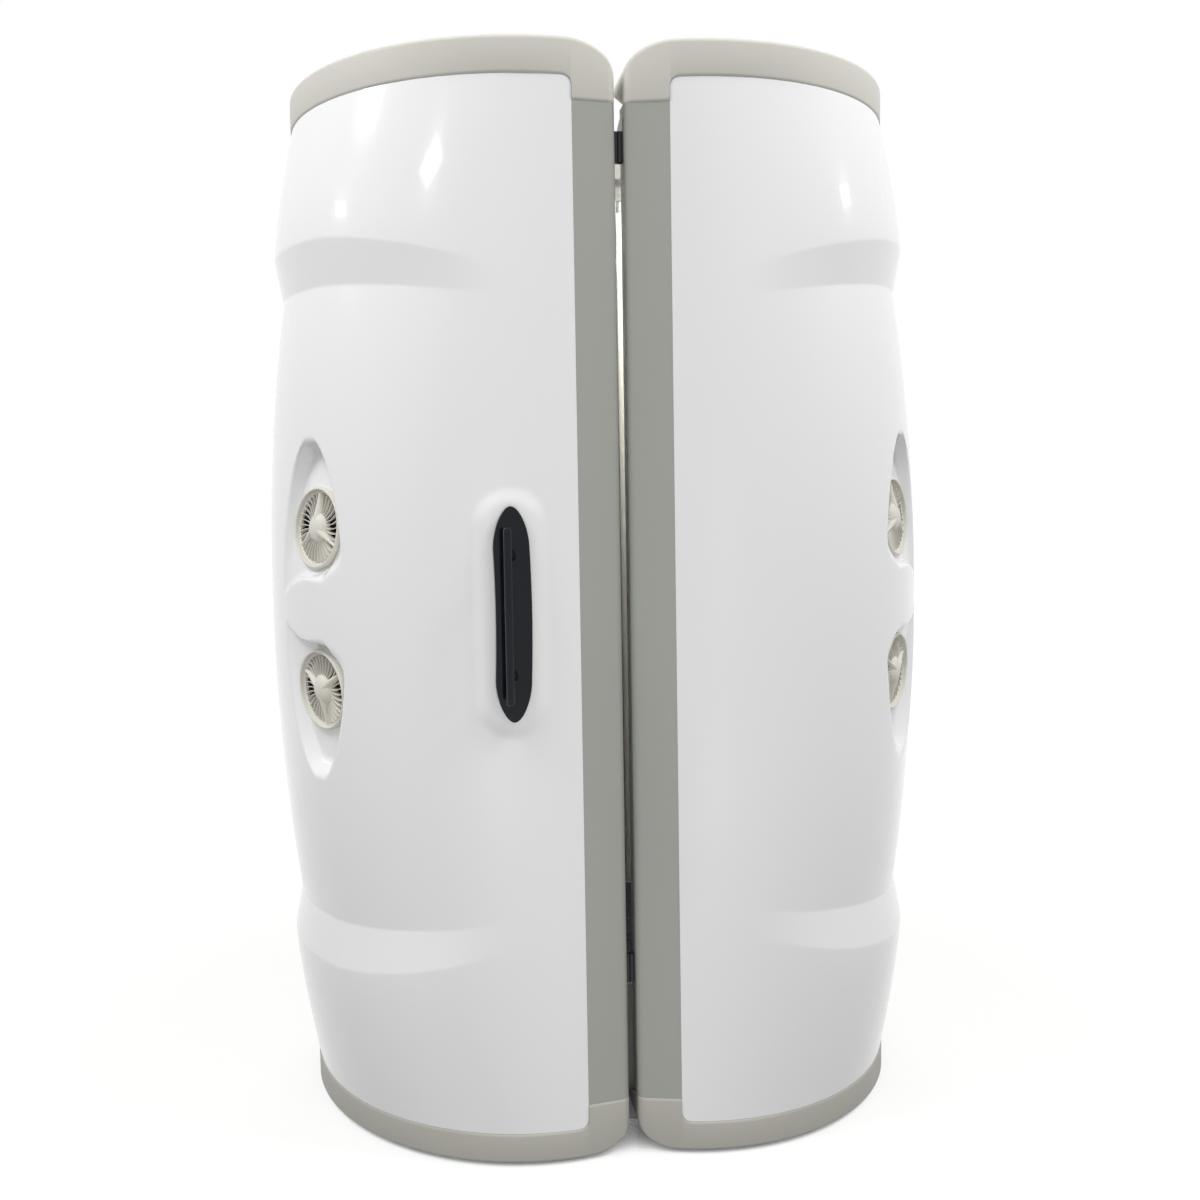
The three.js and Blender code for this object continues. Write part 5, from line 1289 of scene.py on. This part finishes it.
def hinge_leaf(knuckles):
    """A leaf against the rear post with rolled knuckles, about the hinge's axis."""
    leaf = block(LEAF_WIDTH, LEAF_THICKNESS, HINGE_LENGTH, 0.7, 1.2)
    shapes = [moved(leaf, LEAF_START + LEAF_WIDTH / 2, LEAF_Y, 0)]
    r = KNUCKLE_RADIUS
    for first, last in knuckles:
        low = HINGE_LENGTH * (first - 0.5) + (SEAT_GAP if first > 0 else 0)
        high = HINGE_LENGTH * (last - 0.5) - (SEAT_GAP if last < 1 else 0)
        outside = [(r - 0.6, low), (r, low + 0.6), (r, high - 0.6), (r - 0.6, high)]
        shapes.append(turned([(KNUCKLE_BORE, low), *outside, (KNUCKLE_BORE, high)], 32, ring=True))
        web = block(15, LEAF_THICKNESS, high - low, 0.5)
        shapes.append(moved(web, 7.5, LEAF_Y + 0.4, (low + high) / 2))
    return turned_by(merged(*shapes), REAR_FACE_TURN, "Z")


def screw_shape(sizes):
    """A raised countersunk screw head with a cross recess left as a dimple, facing +Y."""
    r = sizes.screw_head / MM / 2
    rim = [(0, 0), (r, 0), (r, 0.3), (r * 0.86, 1), (r * 0.5, 1.5)]
    head = turned([*rim, (r * 0.34, 1.55), (r * 0.26, 0.7), (0, 0.6)], 20)
    return turned_by(head, -90, "X")


class BOOTH_OT_hinges(bpy.types.Operator):
    """Rear hinges with their pins and screws"""

    bl_idname = "booth.hinges"
    bl_label = "Hinges"

    def execute(self, context):
        sizes = context.scene.booth_sizes
        r, end = PIN_RADIUS, HINGE_LENGTH / 2
        neck = end + SEAT_GAP
        shaft = [(0, -end), (r - 0.6, -end), (r, -end + 0.6), (r, neck)]
        head = [(7.4, neck), (8, neck + 0.6), (8, neck + 2.1), (7, neck + 3), (0, neck + 3)]
        pin = turned([*shaft, *head], 32)
        offset = (0, 0, SCREW_PITCH * MM)
        row = copies(screw_shape(sizes), ROW, "hinge_steel", Count=SCREW_COUNT, Offset=offset)
        screws = merged(*[moved(row, x, SCREW_Y, -SCREW_PITCH) for x in SCREW_ROWS])
        screws = turned_by(screws, REAR_FACE_TURN, "Z")
        for name in ("lower_hinge", "upper_hinge"):
            low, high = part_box(f"{name}_fixed_leaf")
            z = (low.z + high.z) / 2 / MM
            for half, mirrored, body in HALVES:
                shares = [(0, 1 / 3), (2 / 3, 1)] if half == "fixed" else [(1 / 3, 2 / 3)]
                leaf = moved(hinge_leaf(shares), 0, HINGE_Y, z)
                piece(f"{name}_{half}_plate", leaf, "hinge_steel", body, [f"{name}_{half}_leaf"], mirrored)
                heads = moved(screws, 0, HINGE_Y, z)
                piece(f"{name}_{half}_screws", heads, "hinge_steel", body, (), mirrored)
            piece(f"{name}_pin_fine", moved(pin, 0, HINGE_Y, z), "hinge_steel", "booth", [f"{name}_pin"])
        return {"FINISHED"}


class BOOTH_OT_catches(bpy.types.Operator):
    """Magnets, strikes and the upper magnet's bracket in the front seam"""

    bl_idname = "booth.catches"
    bl_label = "Catches"

    def execute(self, context):
        for name in ("top", "bottom"):
            for part, body in (("magnet", "booth"), ("strike", "door")):
                node = f"{name}_catch_{part}"
                low, high = (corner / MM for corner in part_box(node))
                size, middle = high - low, (low + high) / 2
                shape = moved(block(size.x, size.y, size.z, 1.2, 2), *middle)
                piece(f"{node}_fine", shape, "black_plastic", body, [node])
        low, high = (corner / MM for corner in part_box("top_catch_magnet"))
        outer, inner, rise = high.x, low.x + 1, BRACKET_RISE
        wedge = [(outer, SEAT_GAP), (outer, rise), (outer - 3, rise), (inner, 3), (inner, SEAT_GAP)]
        sections = [[(x, y, high.z + z) for x, z in wedge] for y in (low.y + 2, high.y - 2)]
        piece("top_catch_bracket", loft(sections), "vent_cream", "booth")
        return {"FINISHED"}


class BOOTH_OT_controls(bpy.types.Operator):
    """Console with its two buttons, and the supply gland"""

    bl_idname = "booth.controls"
    bl_label = "Controls"

    def execute(self, context):
        x, y, turn = face_frame(CONSOLE_X)
        place = Matrix.Translation((x, -y, 0)) @ Matrix.Rotation(-turn, 4, "Z")
        half, corner, front = CONSOLE_HALF, CONSOLE_CORNER, CONSOLE_FRONT
        outline = [(half, CONSOLE_BACK), (-half, CONSOLE_BACK)]
        for side, start in ((-1, math.pi), (1, 1.5 * math.pi)):
            for a in np.linspace(start, start + math.pi / 2, 7):
                across = side * (half - corner) + corner * math.cos(a)
                outline.append((across, front + corner + corner * math.sin(a)))
        case = prism(outline, CONSOLE_LOW, CONSOLE_HIGH, CONSOLE_EDGE)
        ring = turned([(13.4, 0), (17, 0), (17, 0.8), (16, 2), (14.2, 2), (13.4, 1.2)], 48, ring=True)
        ring = turned_by(ring, 90, "X")
        collars = merged(*[moved(ring, 0, front - 0.1, z) for _, z, _ in BUTTONS])
        piece("console_case", placed(case, place), "warm_grey", "booth", ["control_console"])
        piece("console_collars", placed(collars, place), "hinge_steel", "booth")
        skirt = [(0, -0.6), (12.9, -0.6), (12.9, 3.8), (12.2, 5.2)]
        cap = turned_by(turned([*skirt, (10.6, 5.9), (6, 5.6), (0, 5.2)], 40), 90, "X")
        for label, z, slot in BUTTONS:
            button = placed(moved(cap, 0, front, z), place)
            piece(f"{label}_button_cap", button, slot, f"{label}_push", [f"{label}_button"])
        dress("supply_gland", "black_plastic")
        return {"FINISHED"}


# Stage

CAMERA_PLACE = (-0.4272, -3.5735, 1.4018)
CAMERA_YAW, CAMERA_PITCH, CAMERA_ROLL = 0.1239, 0.0808, -0.0163
# Studio lamps: place, target, width, height and watts
STUDIO_LAMPS = {
    "left_box": ((-2.7, -1.5, 5.0), (-0.4, -0.3, 1.2), 1.6, 1.6, 130),
    "right_box": ((2.9, -1.7, 5.0), (0.4, -0.3, 1.2), 1.6, 1.6, 158),
    "front_box": ((-0.5, -4.5, 1.1), (0, 0, 0.8), 1.6, 1.0, 36),
    "foot_box": ((-0.3, -2.4, 0.4), (-0.2, -0.6, 0.4), 0.8, 0.5, 3.4),
    "rear_box": ((0.4, 4.8, 3.4), (0, 0.4, 1.1), 2.0, 1.4, 64),
    "cabin_box": ((0, 0, 2.2), (0, 0, 0), 0.5, 0.5, 4),
}
# Ceiling panels that show as small highlights in the gloss
CEILING_PANELS = ((-2.76, -0.36), (-2.69, -3.06), (-4.92, 0.3), (4.82, -0.65))
CEILING_Z, PANEL_SIDE, PANEL_WATTS = 3.4, 0.6, 9
# Strength of the background as light, and as it is seen
SKY = {"To Min": 0.36, "To Max": 1.0}
FLOOR_REACH = 40
# Glow of the floor over the distance from the booth, and its loss where little sky is seen: ambient
# occlusion dims the glow under and near the booth, a painted shadow
FLOOR_GLOW = {"From Min": 1.2, "From Max": 4.0, "To Min": 0.81, "To Max": 0.95}
FLOOR_PAINTED_SHADOW = {"From Min": 0.08, "From Max": 0.26}


def make_camera():
    """The camera of the photograph: a 45 mm lens on a 36 mm frame."""
    turn = Matrix.Rotation(-CAMERA_YAW, 4, "Z") @ Matrix.Rotation(math.pi / 2 - CAMERA_PITCH, 4, "X")
    data = bpy.data.cameras.new("camera")
    data.lens = 45
    data.sensor_width = 36
    made = bpy.data.objects.new("camera", data)
    made.matrix_world = Matrix.Translation(CAMERA_PLACE) @ turn @ Matrix.Rotation(CAMERA_ROLL, 4, "Z")
    bpy.context.scene.collection.objects.link(made)
    bpy.context.scene.camera = made


def soft_box(name, place, target, width, height, watts, mirrored=False):
    """A studio lamp. The large ones light the gloss evenly and aren't mirrored in it."""
    data = bpy.data.lights.new(name, "AREA")
    data.shape = "RECTANGLE"
    data.size, data.size_y = width, height
    data.energy = watts
    made = bpy.data.objects.new(name, data)
    made.location = place
    made.rotation_euler = (Vector(target) - Vector(place)).to_track_quat("-Z", "Y").to_euler()
    made.visible_glossy = mirrored
    made.visible_camera = False
    bpy.context.scene.collection.objects.link(made)


def seen_share(tree):
    """1 for what the camera, mirrors and glass see, 0 for what only lights the booth."""
    ray = add_node(tree, "ShaderNodeLightPath", {}).outputs
    seen = ray["Is Camera Ray"]
    for kind in ("Is Glossy Ray", "Is Transmission Ray"):
        seen = add_node(tree, MATH, {"operation": "MAXIMUM"}, {0: seen, 1: ray[kind]}).outputs[0]
    return seen


def make_world(scene):
    world = bpy.data.worlds.new("studio")
    scene.world = world
    world.use_nodes = True
    tree = world.node_tree
    tree.nodes.clear()
    strength = add_node(tree, "ShaderNodeMapRange", SKY, {"Value": seen_share(tree)}).outputs["Result"]
    sky = add_node(tree, "ShaderNodeBackground", {"Color": (1, 1, 1, 1)}, {"Strength": strength})
    add_node(tree, "ShaderNodeOutputWorld", {}, {"Surface": sky.outputs[0]})


def make_floor(scene):
    """A pale floor that fades into the white background. Ambient occlusion dims its glow under and near the
    booth, a painted shadow over the lamps' real shadow.
    """
    mesh = bpy.data.meshes.new("floor")
    corners = [(x * FLOOR_REACH, y * FLOOR_REACH, 0) for x, y in ((-1, -1), (1, -1), (1, 1), (-1, 1))]
    mesh.from_pydata(corners, [], [(0, 1, 2, 3)])
    made = bpy.data.materials.new("studio_floor")
    made.use_nodes = True
    tree = made.node_tree
    tree.nodes.clear()
    matt = add_node(tree, "ShaderNodeBsdfDiffuse", {"Color": list(scene.booth_colours.floor)})
    place = add_node(tree, "ShaderNodeTexCoord", {}).outputs["Object"]
    away = add_node(tree, "ShaderNodeVectorMath", {"operation": "LENGTH"}, {0: place}).outputs["Value"]
    fade = add_node(tree, "ShaderNodeMapRange", FLOOR_GLOW, {"Value": away}).outputs["Result"]
    # Ambient occlusion dims the floor's glow under and near the booth: a painted shadow
    sky = add_node(tree, "ShaderNodeAmbientOcclusion", {"Distance": 0.3, "samples": 4}).outputs["AO"]
    clear = add_node(tree, "ShaderNodeMapRange", FLOOR_PAINTED_SHADOW, {"Value": sky}).outputs["Result"]
    shown = add_node(tree, MATH, {"operation": "MULTIPLY"}, {0: seen_share(tree), 1: fade}).outputs[0]
    glow_with_painted_shadow = add_node(tree, MATH, {"operation": "MULTIPLY"}, {0: shown, 1: clear}).outputs[0]
    glow = add_node(tree, "ShaderNodeEmission", {"Color": (1, 1, 1, 1)}, {"Strength": glow_with_painted_shadow})
    both = add_node(tree, "ShaderNodeAddShader", {}, {0: matt.outputs[0], 1: glow.outputs[0]})
    add_node(tree, "ShaderNodeOutputMaterial", {}, {"Surface": both.outputs[0]})
    mesh.materials.append(made)
    floor = bpy.data.objects.new("floor", mesh)
    scene.collection.objects.link(floor)


class BOOTH_OT_stage(bpy.types.Operator):
    """Camera, floor, background and studio lamps"""

    bl_idname = "booth.stage"
    bl_label = "Stage"

    def execute(self, context):
        scene = context.scene
        scene.view_settings.view_transform = "Standard"
        make_camera()
        make_world(scene)
        make_floor(scene)
        for name, lamp in STUDIO_LAMPS.items():
            soft_box(name, *lamp)
        for k, (x, y) in enumerate(CEILING_PANELS):
            panel = ((x, y, CEILING_Z), (x, y, 0), PANEL_SIDE, PANEL_SIDE, PANEL_WATTS)
            soft_box(f"ceiling_panel_{k}", *panel, mirrored=True)
        return {"FINISHED"}


class BOOTH_PT_panel(bpy.types.Panel):
    """Sizes, colours and pieces of the booth"""

    bl_idname = "BOOTH_PT_panel"
    bl_label = "Tanning booth"
    bl_space_type = "VIEW_3D"
    bl_region_type = "UI"
    bl_category = "Booth"

    def draw(self, context):
        layout = self.layout
        for group in (context.scene.booth_sizes, context.scene.booth_colours):
            for name in group.bl_rna.properties.keys():
                if name not in ("rna_type", "name"):
                    layout.prop(group, name)
        for operator in OPERATORS:
            layout.operator(operator.bl_idname)


OPERATORS = (
    BOOTH_OT_stage,
    BOOTH_OT_shells,
    BOOTH_OT_rims,
    BOOTH_OT_vents,
    BOOTH_OT_handle,
    BOOTH_OT_lamps,
    BOOTH_OT_platform,
    BOOTH_OT_hinges,
    BOOTH_OT_catches,
    BOOTH_OT_controls,
)
CLASSES = (BoothSizes, BoothColours, *OPERATORS, BOOTH_PT_panel)


def register():
    for made in CLASSES:
        bpy.utils.register_class(made)
    bpy.types.Scene.booth_sizes = bpy.props.PointerProperty(type=BoothSizes)
    bpy.types.Scene.booth_colours = bpy.props.PointerProperty(type=BoothColours)


def unregister():
    del bpy.types.Scene.booth_colours
    del bpy.types.Scene.booth_sizes
    for made in reversed(CLASSES):
        bpy.utils.unregister_class(made)


def main():
    register()
    bpy.ops.booth.stage()
    bpy.ops.booth.shells()
    bpy.ops.booth.rims()
    bpy.ops.booth.vents()
    bpy.ops.booth.handle()
    bpy.ops.booth.lamps()
    bpy.ops.booth.platform()
    bpy.ops.booth.hinges()
    bpy.ops.booth.catches()
    bpy.ops.booth.controls()


if __name__ == "__main__":
    main()
